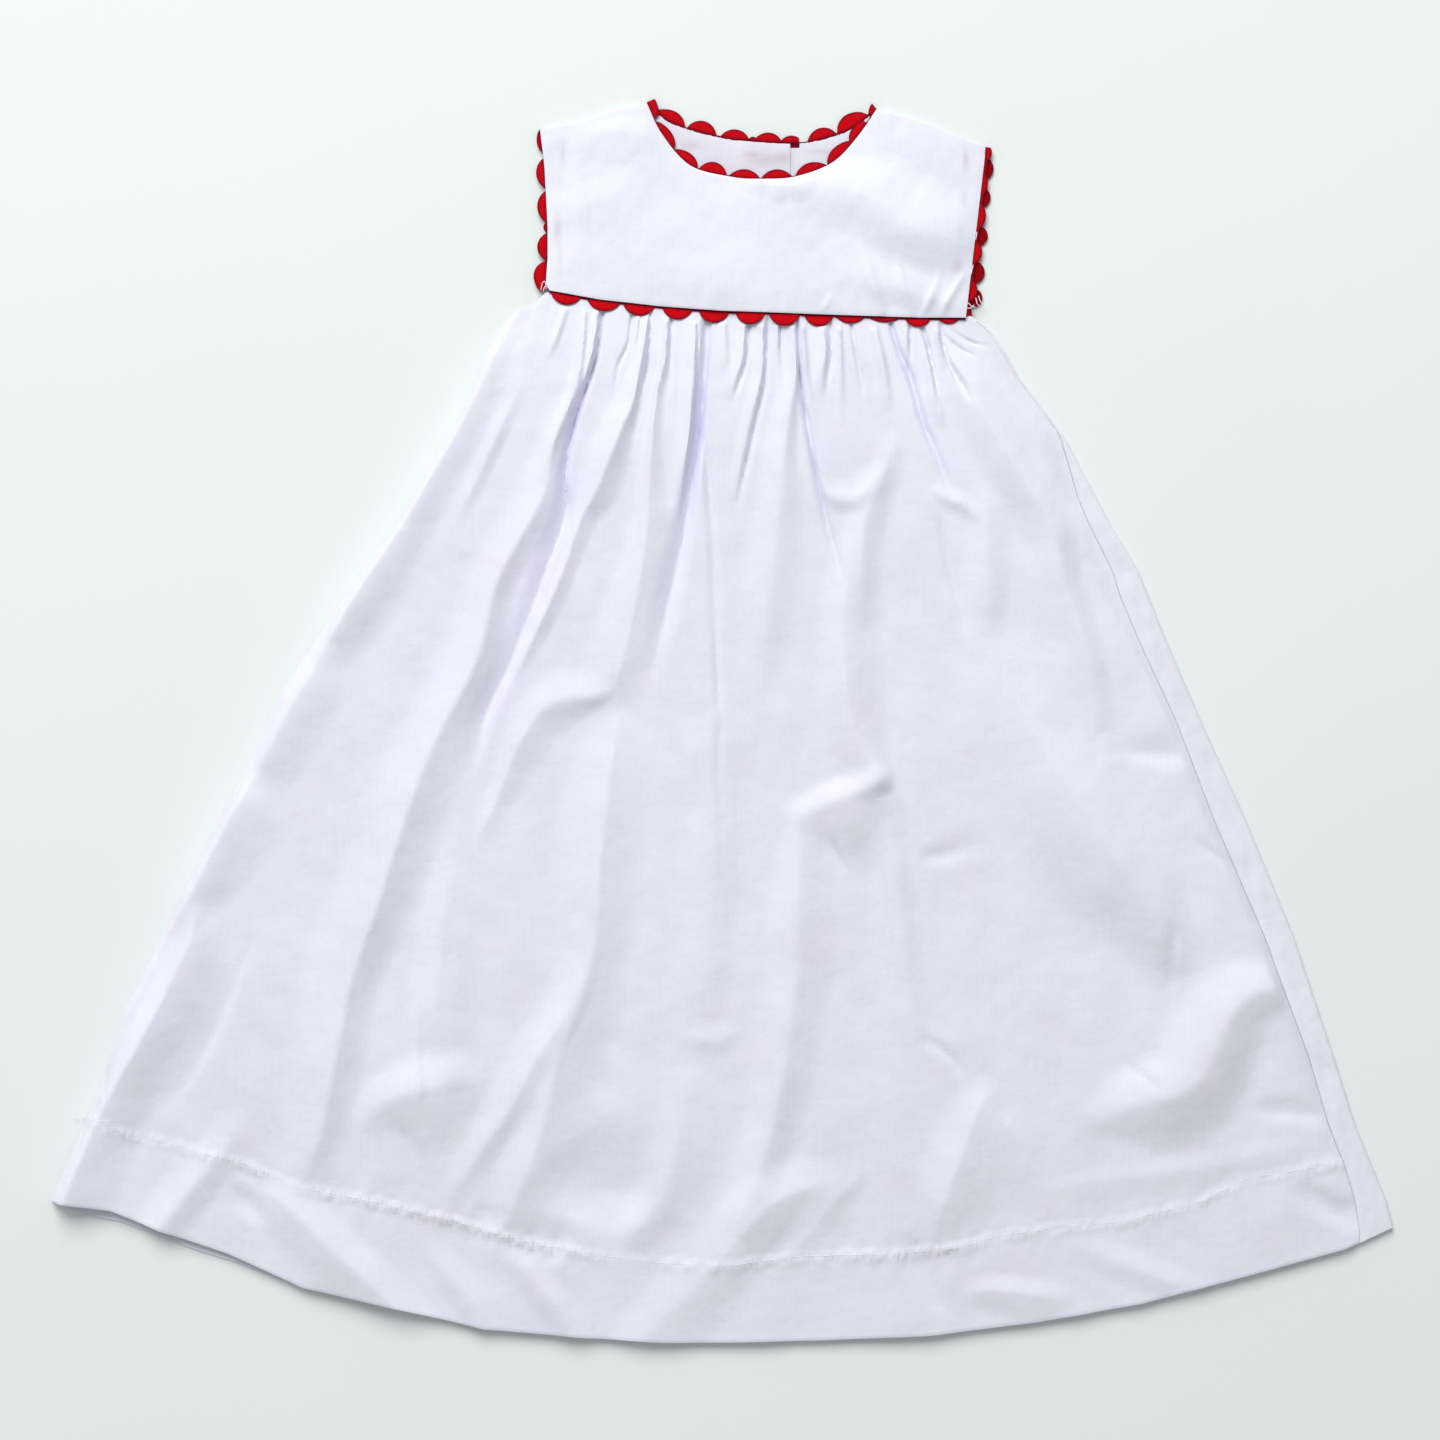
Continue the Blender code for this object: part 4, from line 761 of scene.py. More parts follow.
# Short gathers below the seam, in the same columns
gathers = [
    [(-69, 180, 2.5, 3, 1.4), (-72, 170, 2.5, 3, 1.6), (-77, 158, 3, 3, 0)],
    [(-60, 179, 1.5, 3, 1.4), (-61, 163, 2, 4, 2.5), (-64, 146, 2.5, 5, 2.8), (-71, 128, 3, 6, 2.4),
     (-76, 115, 4, 7, 1.2), (-81, 102, 5, 8, 0)],
    [(-54.5, 179, 1.4, 3, 1.6), (-56, 166, 1.5, 4, 2.5), (-59, 154, 2, 4, 2.1), (-63, 140, 2, 4, 0.8),
     (-67, 128, 2, 4, 0)],
    [(-39.5, 179, 1.3, 1.3, -1.8), (-41, 166, 1.4, 1.4, -2.3), (-45, 157, 1.6, 1.6, -1.9),
     (-46.5, 148, 2, 2, -0.8), (-47, 141, 2, 2, 0)],
    [(-36.5, 179, 1, 1.6, 1.2), (-38, 165, 1.2, 1.8, 1.1), (-39.5, 155, 1.5, 2, 0)],
    [(-31.5, 179, 1, 1.2, -1.8), (-32.5, 159, 1.2, 1.6, -2.3), (-35, 146, 1.5, 2.5, -2.1),
     (-37, 134, 2, 3, -1), (-39, 123, 2, 3, 0)],
    [(-22, 178, 1.3, 1.3, -2), (-22.5, 165, 1.5, 1.5, -1.9), (-23, 152, 2, 2, -1), (-24, 139, 2, 2, 0)],
    [(-11.5, 178, 1.5, 6, 2), (-12, 159, 1.8, 7, 3.3), (-13, 141, 2, 7, 3.7), (-14.5, 124, 2, 7, 3.5),
     (-16.5, 110, 2, 7, 2.8), (-18, 98, 2, 6, 1.5), (-20, 85, 3, 5, 0)],
    [(-10, 177, 1, 1, 1), (-9.7, 160, 1.2, 1.2, 0.9), (-9.5, 145, 1.2, 1.2, 0)],
    [(1, 177, 1.5, 4, 1.4), (1.5, 165, 2, 5, 1.4), (2, 154, 2, 5, 0)],
    [(12, 176, 1.4, 1.4, -2), (10.5, 159, 1.6, 1.6, -2.1), (8, 150, 1.8, 1.8, -1.6), (5.5, 141, 2, 2, 0)],
    [(10, 176, 1.5, 4, 1.8), (9, 159, 1.8, 5, 2), (6, 150, 2, 6, 1.2), (3, 140, 3, 7, 0)],
    [(18, 176, 1.5, 4, 2.2), (18, 155, 1.8, 5, 2.7), (15.5, 141, 2, 6, 2.5), (12, 126, 2, 6, 2),
     (8.5, 110, 2, 6, 1.2), (6, 97, 3, 6, 0)],
    [(24, 176, 1.3, 2, 1.6), (24.5, 165, 1.5, 2, 1.5), (25, 155, 2, 2, 0)],
    [(25.5, 176, 1.2, 1.2, -1.5), (26, 163, 1.4, 1.4, -1.1), (26.5, 155, 1.5, 1.5, 0)],
    [(35.5, 177, 2, 1.2, 1.5), (36.5, 160, 2, 1.4, 1.7), (38, 146, 2.5, 1.5, 0.8), (40, 135, 3, 2, 0)],
    [(44.5, 175, 1.5, 4, 1.8), (45.5, 163, 1.6, 5, 2.5), (44, 153, 2.5, 5, 1.7), (43, 142, 4, 5, 0)],
    [(47.5, 176, 1.4, 1.4, -1.8), (48, 160, 1.6, 1.6, -2.1), (46.5, 150, 2, 2, -1), (46, 141, 2, 2, 0)],
    [(51.5, 176, 1.5, 1.5, 1.6), (52, 160, 2, 2, 1.7), (52, 145, 2.5, 2.5, 1), (52, 129, 3, 3, 0)],
    [(56.5, 176, 1.2, 1.2, -1.5), (59, 160, 1.5, 1.5, -1.9), (61, 150, 2, 2, -1), (62, 139, 2, 2, 0)],
    [(66, 176, 2, 3, 1.8), (70, 160, 2.5, 5, 2.3), (72, 148, 3, 6, 1.7), (73, 134, 4, 6, 0)],
    [(80.5, 175, 1.4, 2.5, 1.6), (81.5, 165, 1.5, 3, 1.7), (83, 155, 2, 3, 0)],
    [(82.5, 174, 1.3, 1.3, -1.7), (82.5, 162, 1.6, 1.6, -1.3), (82.5, 152, 2, 2, 0)],
    [(87.5, 175, 1.4, 2, -2.2), (91, 163, 1.5, 2, -2.8), (93, 152, 1.6, 2, -2.1), (94, 142, 2, 2, -1),
     (95, 133, 2, 2, 0)],
    [(88, 170, 1.2, 4, 0), (90, 160, 1.2, 4, 1.6), (92.5, 150, 1.5, 5, 2.1), (94, 141, 2, 6, 1.7),
     (98, 128, 3, 6, 0)],
    [(93.5, 176, 1.5, 2, 1.8), (95.5, 163, 1.6, 2.5, 1.9), (97, 153, 2, 2, 0)],
    [(96, 174, 1.4, 1.4, -1.8), (98.5, 160, 2, 1.6, -2.1), (102, 152, 3, 2, -3.2), (105, 147, 3.5, 2.5, -2.6),
     (110, 139, 4, 3, 0)],
    [(96, 171, 1.2, 1.2, 0), (101, 166, 1.3, 1.3, -1.5), (107, 162, 1.3, 1.3, -1.3), (112, 160, 1.3, 1.3, 0)],
    [(100, 172, 1.2, 1.2, 0), (108, 167, 1.3, 1.3, -1.4), (114, 165, 1.3, 1.3, -1.1),
     (119, 164, 1.2, 1.2, 0)],
]

yoke = {
    "thickness": 0.9,
    "wall": 1.4,
    "body": 1.3,                  # the loose middle stands this much above the edges
    "bodyReach": 26,              # rows and columns from the edge to the loose middle
    "towardsSeam": 2.1,           # rise of the yoke's lower part on to the gathers
    "seamRiseFrom": 62,
    "seamRiseOver": 66,
    "waves": [(0.16, 38, 21), (0.05, 12, 22)],    # height, wavelength, seed
    "seamPucker": 0.18,
    "roll": (0.3, 0.12, 3),       # how far the sides and ends roll down, and over how many rows
    "nearEdge": (0, 0.4, 0.8, 1.3, 2.0),          # rows close to both ends
    "length": 80,
    "rows": (0.035, 0.965, 90),   # the rows between them, as shares of the length
    "shoulderPoints": 46,
    "neckPoints": 90,
    "seamPuckerAt": 3,
    "seamPuckerWidth": 6,
    "backHeight": 1.0,
    "backThickness": 0.6,
    "backRows": 60,
    "backShoulderPoints": 30,
    "backNeckPoints": 60,
    "backWave": 0.10,
    "backWaveBelow": 252,
    "backWaveOver": 6,
    "backRoll": (0.2, 0.12, 2),
    # painted shade over all of the back yokes, which lie inside the neck
    "backShade": 0.2,
    "lap": (12, 30),              # the left half of the back laps over the right between these x
    "lapStep": 6,
    "lapRise": 0.75,
    "lapSwell": 26,               # how far to both sides the front rises over the lap
    "seam": [(-76, 189), (-54, 185), (-27, 182), (-1, 180), (26, 179), (56, 178), (87, 177), (107, 177)],
    "leftShoulder": [(-80, 260), (-62, 264), (-45, 269.5), (-33.2, 271.8)],
    "frontNeck": [
        (-33.2, 271.8), (-26.5, 258), (-14, 244), (4, 239), (16, 238), (32, 239), (48, 245), (59, 256),
        (68, 269),
    ],
    "rightShoulder": [(68, 269), (87, 264), (116, 252)],
    "backNeck": [
        (-33.2, 271.8), (-22, 263), (-2, 257), (12, 255), (29, 254), (40, 255), (56, 260), (68, 269),
    ],
    "leftUnderarm": [(-91, 180), (-88, 182), (-82, 183), (-78, 188), (-75, 189)],
    "rightUnderarm": [(106, 177), (109, 178), (113, 176)],
    "leftArmhole": [
        (-76.4, 190.5), (-77.2, 192), (-76.8, 203), (-76.5, 216), (-77.2, 234), (-78.6, 249), (-79.9, 260),
    ],
    "rightArmhole": [
        (115.9, 252.2), (113.7, 234.5), (111.3, 217), (109, 196.8), (107, 182.5), (106.4, 177.4),
    ],
    "leftSideBow": [(189, 0.3), (192, -1.2), (203, 0.2), (216, 0.9), (234, 1.3), (248, 0.8), (260, 0)],
    # grey marks inside the back neck, and at x 30.4 a painted shadow along the lap's edge
    "greyMarksAndLapShadow": [                  # x, y, half width, half length, strength
        (19, 246.5, 8, 3.4, 0.5), (27, 247.6, 3.2, 2.6, 0.5), (13, 249, 3.5, 1.0, 0.55),
        (-14, 253, 5, 1.8, 0.4), (43, 250.4, 6, 1.3, 0.4), (30.4, 246, 0.5, 6, 0.3),
    ],
    "shadows": [                  # x, y, half width, half length, strength
        (-70.2, 249, 1.0, 4.5, 0.42), (-71.0, 238, 0.9, 3, 0.18), (-72.2, 216, 1.6, 5, 0.5),
        (-71.4, 203, 1.0, 8, 0.25), (107.2, 246, 1.3, 5, 0.55), (106.4, 229, 1.0, 4, 0.32),
        (104.8, 213, 1.5, 4, 0.2), (103.4, 199, 2.2, 4, 0.4),
    ],
}

yokeFolds = {
    "shoulderHollow": (0.15, [
        (30, 241, 8, 8, 0), (42, 236, 12, 18, 1.6), (56, 232, 18, 20, 3.4), (67, 228, 24, 20, 4.2),
        (78, 219, 26, 19, 4.2), (91, 214, 26, 19, 4.4), (102, 210, 22, 17, 3.2), (111, 207, 10, 12, 0)]),
    "neckShade": (0.3, [
        (8, 236, 3, 4, 0), (18, 235.5, 3, 8, 1.0), (32, 235, 3, 9, 1.5), (43, 238, 3, 6, 0)]),
    "bottomRidge": (0.2, [
        (48, 200, 10, 8, 0), (62, 194, 14, 10, 0.8), (80, 189, 12, 9, 1.1), (96, 184, 10, 8, 1.0),
        (108, 180, 6, 6, 0)]),
    "leftFold": (0.2, [
        (-76, 226, 6, 8, 0), (-64, 226, 10, 16, 0.9), (-48, 230, 12, 18, 0.9), (-34, 240, 8, 10, 0)]),
    "neckSide": (0.2, [
        (-66, 256, 8, 8, 0), (-50, 258, 8, 16, 1.0), (-36, 258, 8, 14, 0.8), (-26, 250, 4, 5, 0)]),
    "seamPucker": (0.5, [
        (60, 212, 3, 4, 0), (63, 202, 4, 5, 1.1), (67, 190, 4, 5, 1.6), (70, 179, 3, 4, 0.8)]),
    "seamPuckerSecond": (0.5, [
        (77, 205, 2.5, 3, 0), (78.5, 195, 3, 4, 1.0), (81, 186, 3, 4, 1.2), (83, 178, 2.5, 3, 0.6)]),
    "cornerPucker": (0.6, [
        (96, 178, 2, 3, 0.5), (99, 185, 2.5, 4, 1.5), (104, 193, 2, 3, 0.9), (107, 198, 2, 2, 0)]),
    "cornerPuckerInner": (0.6, [
        (88, 178, 2, 2, 0.4), (91, 185, 2.5, 3.5, 1.1), (94, 193, 2, 3, 0.6), (96, 200, 2, 2, 0)]),
    "seamSpot": (0.6, [(44, 179, 2, 2, 0), (46, 183, 2.5, 2.5, 0.7), (48, 188, 2, 2, 0)]),
    "neckPuckerLeft": (0.5, [(18, 238, 2, 2, -0.3), (19, 233, 2.5, 2.5, -0.6), (19, 226, 3, 3, 0)]),
    "neckPuckerRight": (0.5, [(27, 238, 2, 2, -0.3), (28, 233, 2.5, 2.5, -0.6), (29, 225, 3, 3, 0)]),
    "armholeLeft": (0.3, [
        (-62, 262, 6, 5, 0), (-64, 240, 8, 6, 0.6), (-63, 215, 8, 6, 0.7), (-60, 192, 6, 5, 0)]),
}


skirtTopLine = yoke["leftUnderarm"] + yoke["seam"][1:-1] + yoke["rightUnderarm"]


def lapLift(x):
    step = yoke["lapStep"]
    start, end = yoke["lap"][0] - step - 2, yoke["lap"][1] + step + 2
    return skirt["onBack"] * softStep((x - start) / step) * softStep((end - x) / step)


# Cloth that lies over the lap bridges its steps
def lapSwell(x):
    return skirt["onBack"] * bell(x - sum(yoke["lap"]) / 2, yoke["lapSwell"])


def skirtTopEdge(x):
    start, end = skirt["tuckedBetween"]
    tucked = softStep((x - start) / skirt["tuckedFade"]) * softStep((end - x) / skirt["tuckedFade"])
    return lookUp(skirtTopLine, x) + skirt["tuckedUnder"] * tucked


def rightSeam(y):
    return lookUp(skirt["rightSide"], y) - lookUp(skirt["seamInset"], y) - skirt["seamGap"]


# Rows of the skirt's grid from the seam to the hem, closer together at the gathers and the stitching
def rowShares():
    return np.append(np.concatenate([np.linspace(*rows, endpoint=False) for rows in skirt["rows"]]), 1)


def sideSeamRows(shares):
    foot = lookUp(skirt["frontHem"], rightSeam(skirt["frontHem"][-1][1]))
    return between(yoke["rightUnderarm"][-1][1], foot, shares)


# Each column of the grid starts on the seam and follows the grain lines to the hem
def skirtPlan(columns, shares):
    lines = list(skirt["grain"].values())
    known = [yoke["leftUnderarm"][0][0]] + [line[0] for line in lines] + [yoke["rightUnderarm"][-1][0]]
    hem = [skirt["frontHem"][0][0]] + [line[-1] for line in lines]
    hem.append(float(rightSeam(skirt["frontHem"][-1][1])))
    leastDrop = 6
    x = np.zeros((len(shares), len(columns)))
    y = np.zeros_like(x)
    for j, c in enumerate(columns):
        top = float(skirtTopEdge(c))
        path = [(top, c)]
        for k, level in enumerate(skirt["levels"]):
            if level < top - leastDrop:
                across = [lookUp(skirt["leftSide"], level)] + [line[k + 1] for line in lines]
                across.append(float(rightSeam(level)))
                path.append((level, float(np.interp(c, known, across))))
        hemX = float(np.interp(c, known, hem))
        path.append((float(lookUp(skirt["frontHem"], hemX)), hemX))
        y[:, j] = between(top, path[-1][0], shares)
        x[:, j] = lookUp(path, y[:, j])
    for _ in range(skirt["smoothing"]):
        x[1:-1] = 0.25 * x[:-2] + 0.5 * x[1:-1] + 0.25 * x[2:]
    y[:, -1] = sideSeamRows(shares)
    inward = skirt["columnGap"] * np.arange(len(columns))
    x = np.maximum(x, lookUp(skirt["leftSide"], y) + inward)
    x = np.minimum(x, rightSeam(y) - inward[::-1])
    x[:, 0] = lookUp(skirt["leftSide"], y[:, 0])
    x[:, -1] = rightSeam(y[:, -1])
    return x, y


stitching = {
    "from": -284,
    "to": 277,
    "points": 900,
    "bandRise": 0.3,              # the hem is double up to the stitched line
    "bandFrom": 2.6,
    "bandOver": 2.4,
    "groove": 0.3,
    "grooveWidth": 1.2,
    "pucker": 0.34,
    "puckerWidth": 3.6,
    "fullness": 0.22,
    "fullnessWidth": 12.0,
    "drawnAbove": 1.9,            # reach of the finest puckers, which the material adds
    "drawnBelow": 2.8,
    "length": 2.3,
    "pitch": 3.1,
    "thick": 0.34,
    "proud": 0.02,
}


# Doubled hem, its stitched line and the puckers along it
def stitchRelief(x, y):
    toStitch = y - lookUp(skirt["stitchLine"], x)
    pull = lookUp(skirt["stitchPull"], x)
    nowhere = np.zeros_like(x)
    uneven = 1 + 0.5 * unevenness(x, nowhere, wavelength=21, seed=14)
    pucker = np.maximum(unevenness(x + 0.5 * y, nowhere, wavelength=5.2, seed=8), -0.5)
    pucker += 0.6 * unevenness(x, y, wavelength=7, seed=11)
    fullness = unevenness(x - 0.4 * y, nowhere, wavelength=15, seed=9)
    relief = stitching["bandRise"] * softStep((stitching["bandFrom"] - toStitch) / stitching["bandOver"])
    relief -= stitching["groove"] * uneven * bell(toStitch, stitching["grooveWidth"])
    relief += stitching["pucker"] * pull * pucker * bell(toStitch, stitching["puckerWidth"])
    relief += stitching["fullness"] * pull * fullness * bell(toStitch, stitching["fullnessWidth"])
    return relief


# Height of the front skirt's outer face
def skirtTop(x, y, belowSeam):
    aboveHem = y - lookUp(skirt["frontHem"], x)
    fromLeft = np.maximum(x - lookUp(skirt["leftSide"], y), 0)
    fromRight = np.maximum(rightSeam(y) - x, 0)
    soft = skirt["edgeSoftness"]
    softRight = soft + skirt["softerRight"] * softStep((y - skirt["softerFrom"]) / skirt["softerOver"])
    edges = (1 - np.exp(-fromLeft / soft)) * (1 - np.exp(-fromRight / softRight))
    nearHem = between(skirt["hemRise"], 1, softStep(aboveHem / skirt["hemReach"]))
    height = lookUp(skirt["gatherRise"], belowSeam) * nearHem * edges
    sharpGathers = [(skirt["gatherSharpness"], gather) for gather in gathers]
    folds = foldHeight(x, y, [*skirtFolds.values(), *sharpGathers])
    folds *= np.minimum(edges * skirt["foldEdge"], 1)
    height += folds * softStep((belowSeam + skirt["tuckedUnder"]) / skirt["foldStart"])
    for rise, squash, wavelength, seed in skirt["waves"]:
        wave = rise * unevenness(x, y * squash, wavelength, seed)
        height += wave * edges * softStep(belowSeam / skirt["waveStart"])
    overLowest = height - skirt["lowest"] - 1
    height = np.where(overLowest > 0, height, skirt["lowest"] + np.exp(np.minimum(overLowest, 0)))
    height *= np.minimum(edges * skirt["flatEdge"], 1)
    pastRicrac = softStep((belowSeam - skirt["ricracReach"]) / skirt["ricracFade"])
    heldDown = skirt["pressed"] + skirt["ricracSlope"] * belowSeam + skirt["ricracRoom"] * pastRicrac
    height = np.minimum(height, heldDown)
    top = skirt["onBack"] + skirt["frontWall"] + height
    top += lapLift(x) * softStep((skirt["lapFade"] - belowSeam) / skirt["lapFade"])
    top += lookUp(skirt["hemLift"], x) * softStep((skirt["hemLiftReach"] - aboveHem) / skirt["hemLiftReach"])
    top += stitchRelief(x, y)
    rollLow = skirt["rightRollLow"] * softStep((skirt["rightRollFrom"] - y) / skirt["rightRollOver"])
    top -= skirt["leftRoll"][0] * bell(fromLeft, skirt["leftRoll"][1])
    top -= (skirt["rightRoll"][0] + rollLow) * bell(fromRight, skirt["rightRoll"][1])
    top -= skirt["hemRoll"][0] * bell(np.maximum(aboveHem, 0), skirt["hemRoll"][1])
    return top


def makeFrontSkirt(material):
    columns = np.linspace(yoke["leftUnderarm"][0][0], yoke["rightUnderarm"][-1][0], skirt["columns"])
    x, y = skirtPlan(columns, rowShares())
    belowSeam = skirtTopEdge(columns) - skirt["tuckedUnder"] - y
    piece = laidSheet("frontSkirt", x, y, skirtTop(x, y, belowSeam), skirt["rimThickness"], True)
    px, py = pointsOf(piece)
    # Painted shade: how strongly the long valleys are tinted lavender
    paint(piece, "valleyShade", np.clip(foldHeight(px, py, paintedValleyShade), 0, 1))
    fromStitch = py - lookUp(skirt["stitchLine"], px)
    reach = np.where(fromStitch > 0, stitching["drawnAbove"], stitching["drawnBelow"])
    paint(piece, "pucker", lookUp(skirt["stitchPull"], px) * bell(fromStitch, reach))
    dress(piece, material, "cotton", "front_skirt")
    return piece


backSkirtShape = {
    "thickness": 0.45,
    "radius": 1.2,                # of the fold along the right side
    "turnSteps": 9,
    "flatColumns": 60,
    "stripColumns": 14,           # of the strip that is folded forward up to the side seam
    "rows": 150,
    "belowTop": 0.3,
    "pastSeam": 0.2,
    "stripGap": 0.1,
    "aroundBend": 4,
    "dips": [(0.3, -20, 60), (0.15, 110, 40)],    # under the front's edge: depth, below this y, over
    "dipWidth": 0.9,
    "ripples": [(0.25, 0.5, 24, 12), (0.2, 1, 9, 13)],    # height, squash, wavelength, seed
    "rippleEnd": 0.9,
}


def makeBackSkirt(material):
    shape = backSkirtShape
    radius = shape["radius"]
    flatShares = np.linspace(0, 1, shape["flatColumns"])
    turns = np.linspace(-math.pi / 2, math.pi / 2, shape["turnSteps"])[1:]
    stripShares = np.linspace(0, 1, shape["stripColumns"])[1:]
    shares = np.linspace(0, 1, shape["rows"])
    down = shares[:, None]
    (leftTopY, leftTopX), (leftFootY, leftFootX) = skirt["leftSide"][0], skirt["leftSide"][-1]
    (rightTopY, rightTopX), (rightFootY, rightFootX) = skirt["rightSide"][0], skirt["rightSide"][-1]
    leftY = between(leftTopY, leftFootY, down)
    rightY = between(rightTopY, rightFootY, down)
    leftX = lookUp(skirt["leftSide"], leftY)
    bendX = lookUp(skirt["rightSide"], rightY) - radius
    flatX = between(leftX, bendX, flatShares)
    flatY = between(leftY, rightY, flatShares)
    topBow = lookUp(skirtTopLine, between(leftTopX, rightTopX, flatShares)) - shape["belowTop"]
    topBow -= between(leftTopY, rightTopY, flatShares)
    hemX = between(leftFootX, rightFootX, flatShares)
    hemBow = lookUp(skirt["frontHem"], hemX) - lookUp(skirt["backHemBelow"], hemX)
    hemBow -= between(leftFootY, rightFootY, flatShares)
    flatY += topBow * (1 - down) + hemBow * down
    bendY = flatY[:, -1:]
    turnX = bendX + np.cos(turns) * radius
    turnY = np.repeat(bendY, len(turns), axis=1)
    turnZ = np.repeat(radius + np.sin(turns)[None, :] * radius, len(shares), axis=0)
    seamY = sideSeamRows(down)
    stripX = between(bendX, rightSeam(seamY) + shape["pastSeam"], stripShares)
    stripY = between(bendY, seamY, stripShares)
    dip = sum(depth * softStep((below - stripY) / over) for depth, below, over in shape["dips"])
    fromSeam = np.maximum(stripX - rightSeam(stripY), 0)
    stripZ = 2 * radius + shape["stripGap"] - dip * bell(fromSeam, shape["dipWidth"])
    for rise, squash, wavelength, seed in shape["ripples"]:
        ripple = rise * unevenness(stripX * squash, stripY, wavelength, seed)
        stripZ += ripple * np.sin(math.pi * np.minimum(stripShares / shape["rippleEnd"], 1))
    x = np.concatenate([flatX, turnX, stripX], axis=1)
    y = np.concatenate([flatY, turnY, stripY], axis=1)
    z = np.concatenate([np.zeros_like(flatX), turnZ, stripZ], axis=1)
    u = np.concatenate([flatX, turnX + shape["aroundBend"], 2 * bendX + shape["aroundBend"] - stripX], axis=1)
    piece = clothSheet("backSkirt", x, y, z, u, y, shape["thickness"])
    dress(piece, material, "cotton", "back_skirt")
    return piece


# Yoke

def yokePlan(upper, rows, leftFoot, rightFoot):
    upperX, upperY = upper.T
    share = (upperX - upperX[0]) / (upperX[-1] - upperX[0])
    footX = between(leftFoot, rightFoot, share)
    down = np.asarray(rows)[:, None]
    return between(upperX, footX, down), between(upperY, lookUp(yoke["seam"], footX), down)


def evenPath(path, count):
    along = alongPath(path)
    places = np.linspace(0, along[-1], count)
    return np.stack([np.interp(places, along, path[:, k]) for k in (0, 1)], axis=1)


def fromEdges(count):
    return np.minimum(np.arange(count), np.arange(count)[::-1])


def edgeRoll(x, reach):
    rows, columns = x.shape
    sides = np.maximum(0, 1 - fromEdges(columns)[None, :] / reach) ** 2
    ends = np.maximum(0, 1 - fromEdges(rows)[:, None] / reach) ** 2
    return sides, ends


def rolledDown(x, roll):
    sides, ends = edgeRoll(x, roll[2])
    return np.maximum(roll[0] * sides, roll[1] * ends)


# Faint marks painted into the white cloth's colour. On the front yoke they are what lies under the cloth
# showing through it; on the back yokes they are painted shade all over, a painted shadow along the lap's
# edge, and grey marks.
def markCloth(piece, marks, shadeEverywhere):
    px, py = pointsOf(piece)
    marksAndShade = np.full_like(px, shadeEverywhere)
    for markX, markY, halfWidth, halfLength, strength in marks:
        marksAndShade += strength * bell(px - markX, halfWidth) * bell(py - markY, halfLength)
    paint(piece, "showThroughAndShade", marksAndShade)


def makeFrontYoke(material):
    upper = np.concatenate([
        evenPath(smoothPath(yoke["leftShoulder"], 6), yoke["shoulderPoints"])[:-1],
        evenPath(smoothPath(yoke["frontNeck"], 8), yoke["neckPoints"])[:-1],
        evenPath(smoothPath(yoke["rightShoulder"], 8), yoke["shoulderPoints"]),
    ])
    near = np.array(yoke["nearEdge"]) / yoke["length"]
    rows = np.concatenate([near, np.linspace(*yoke["rows"]), 1 - near[::-1]])
    seam = yoke["seam"]
    x, y = yokePlan(upper, rows, seam[0][0], seam[-1][0])
    x[:, 0] += lookUp(yoke["leftSideBow"], y[:, 0])
    aboveSeam = y - lookUp(seam, x)
    top = skirt["onBack"] + yoke["wall"] + lapSwell(x)
    top += yoke["towardsSeam"] * softStep((yoke["seamRiseFrom"] - aboveSeam) / yoke["seamRiseOver"])
    sides, ends = edgeRoll(x, yoke["bodyReach"])
    top += yoke["body"] * (1 - sides) * (1 - ends)
    top += foldHeight(x, y, list(yokeFolds.values()))
    for rise, wavelength, seed in yoke["waves"]:
        top += rise * unevenness(x, y, wavelength, seed)
    pucker = unevenness(x, np.zeros_like(x), wavelength=9, seed=23)
    top += yoke["seamPucker"] * pucker * bell(aboveSeam - yoke["seamPuckerAt"], yoke["seamPuckerWidth"])
    top -= rolledDown(x, yoke["roll"])
    piece = laidSheet("frontYoke", x, y, top, yoke["thickness"])
    markCloth(piece, yoke["shadows"], 0)
    dress(piece, material, "cotton", "front_yoke")
    return piece


def makeBackYoke(name, upper, leftFoot, rightFoot, lift, cadNode, material):
    x, y = yokePlan(upper, np.linspace(0, 1, yoke["backRows"]), leftFoot, rightFoot)
    wave = yoke["backWave"] * unevenness(x, y, wavelength=22, seed=31)
    wave *= softStep((yoke["backWaveBelow"] - y) / yoke["backWaveOver"])
    top = yoke["backHeight"] + lift(x) + wave
    top -= rolledDown(x, yoke["backRoll"])
    piece = laidSheet(name, x, y, top, yoke["backThickness"])
    # Painted shade over the back yokes inside the neck, a painted shadow along the lap's edge, and grey marks
    markCloth(piece, yoke["greyMarksAndLapShadow"], yoke["backShade"])
    dress(piece, material, "cotton", cadNode)
    return piece


def makeBackYokes(material):
    start, end = yoke["lap"]
    neck = smoothPath(yoke["backNeck"], 8)
    closest = 0.5
    left = np.array([p for p in neck if p[0] < end - closest] + [(end, lookUp(neck.tolist(), end))])
    right = np.array([(start, lookUp(neck.tolist(), start))] + [p for p in neck if p[0] > start + closest])
    leftShoulder = evenPath(smoothPath(yoke["leftShoulder"], 6), yoke["backShoulderPoints"])
    rightShoulder = evenPath(smoothPath(yoke["rightShoulder"], 8), yoke["backShoulderPoints"])
    leftUpper = np.concatenate([leftShoulder[:-1], evenPath(left, yoke["backNeckPoints"])])
    rightUpper = np.concatenate([evenPath(right, yoke["backNeckPoints"])[:-1], rightShoulder])
    seam = yoke["seam"]

    def overLap(x):
        return yoke["lapRise"] * softStep((x - start + yoke["lapStep"] + 1) / yoke["lapStep"])

    halves = [
        ("backYokeLeft", leftUpper, seam[0][0], end, overLap, "back_yoke_left"),
        ("backYokeRight", rightUpper, start, seam[-1][0], np.zeros_like, "back_yoke_right"),
    ]
    return [makeBackYoke(*half, material) for half in halves]


# Ric-rac. A row is one scallop: where it starts and ends, and how far it shows past the strip.

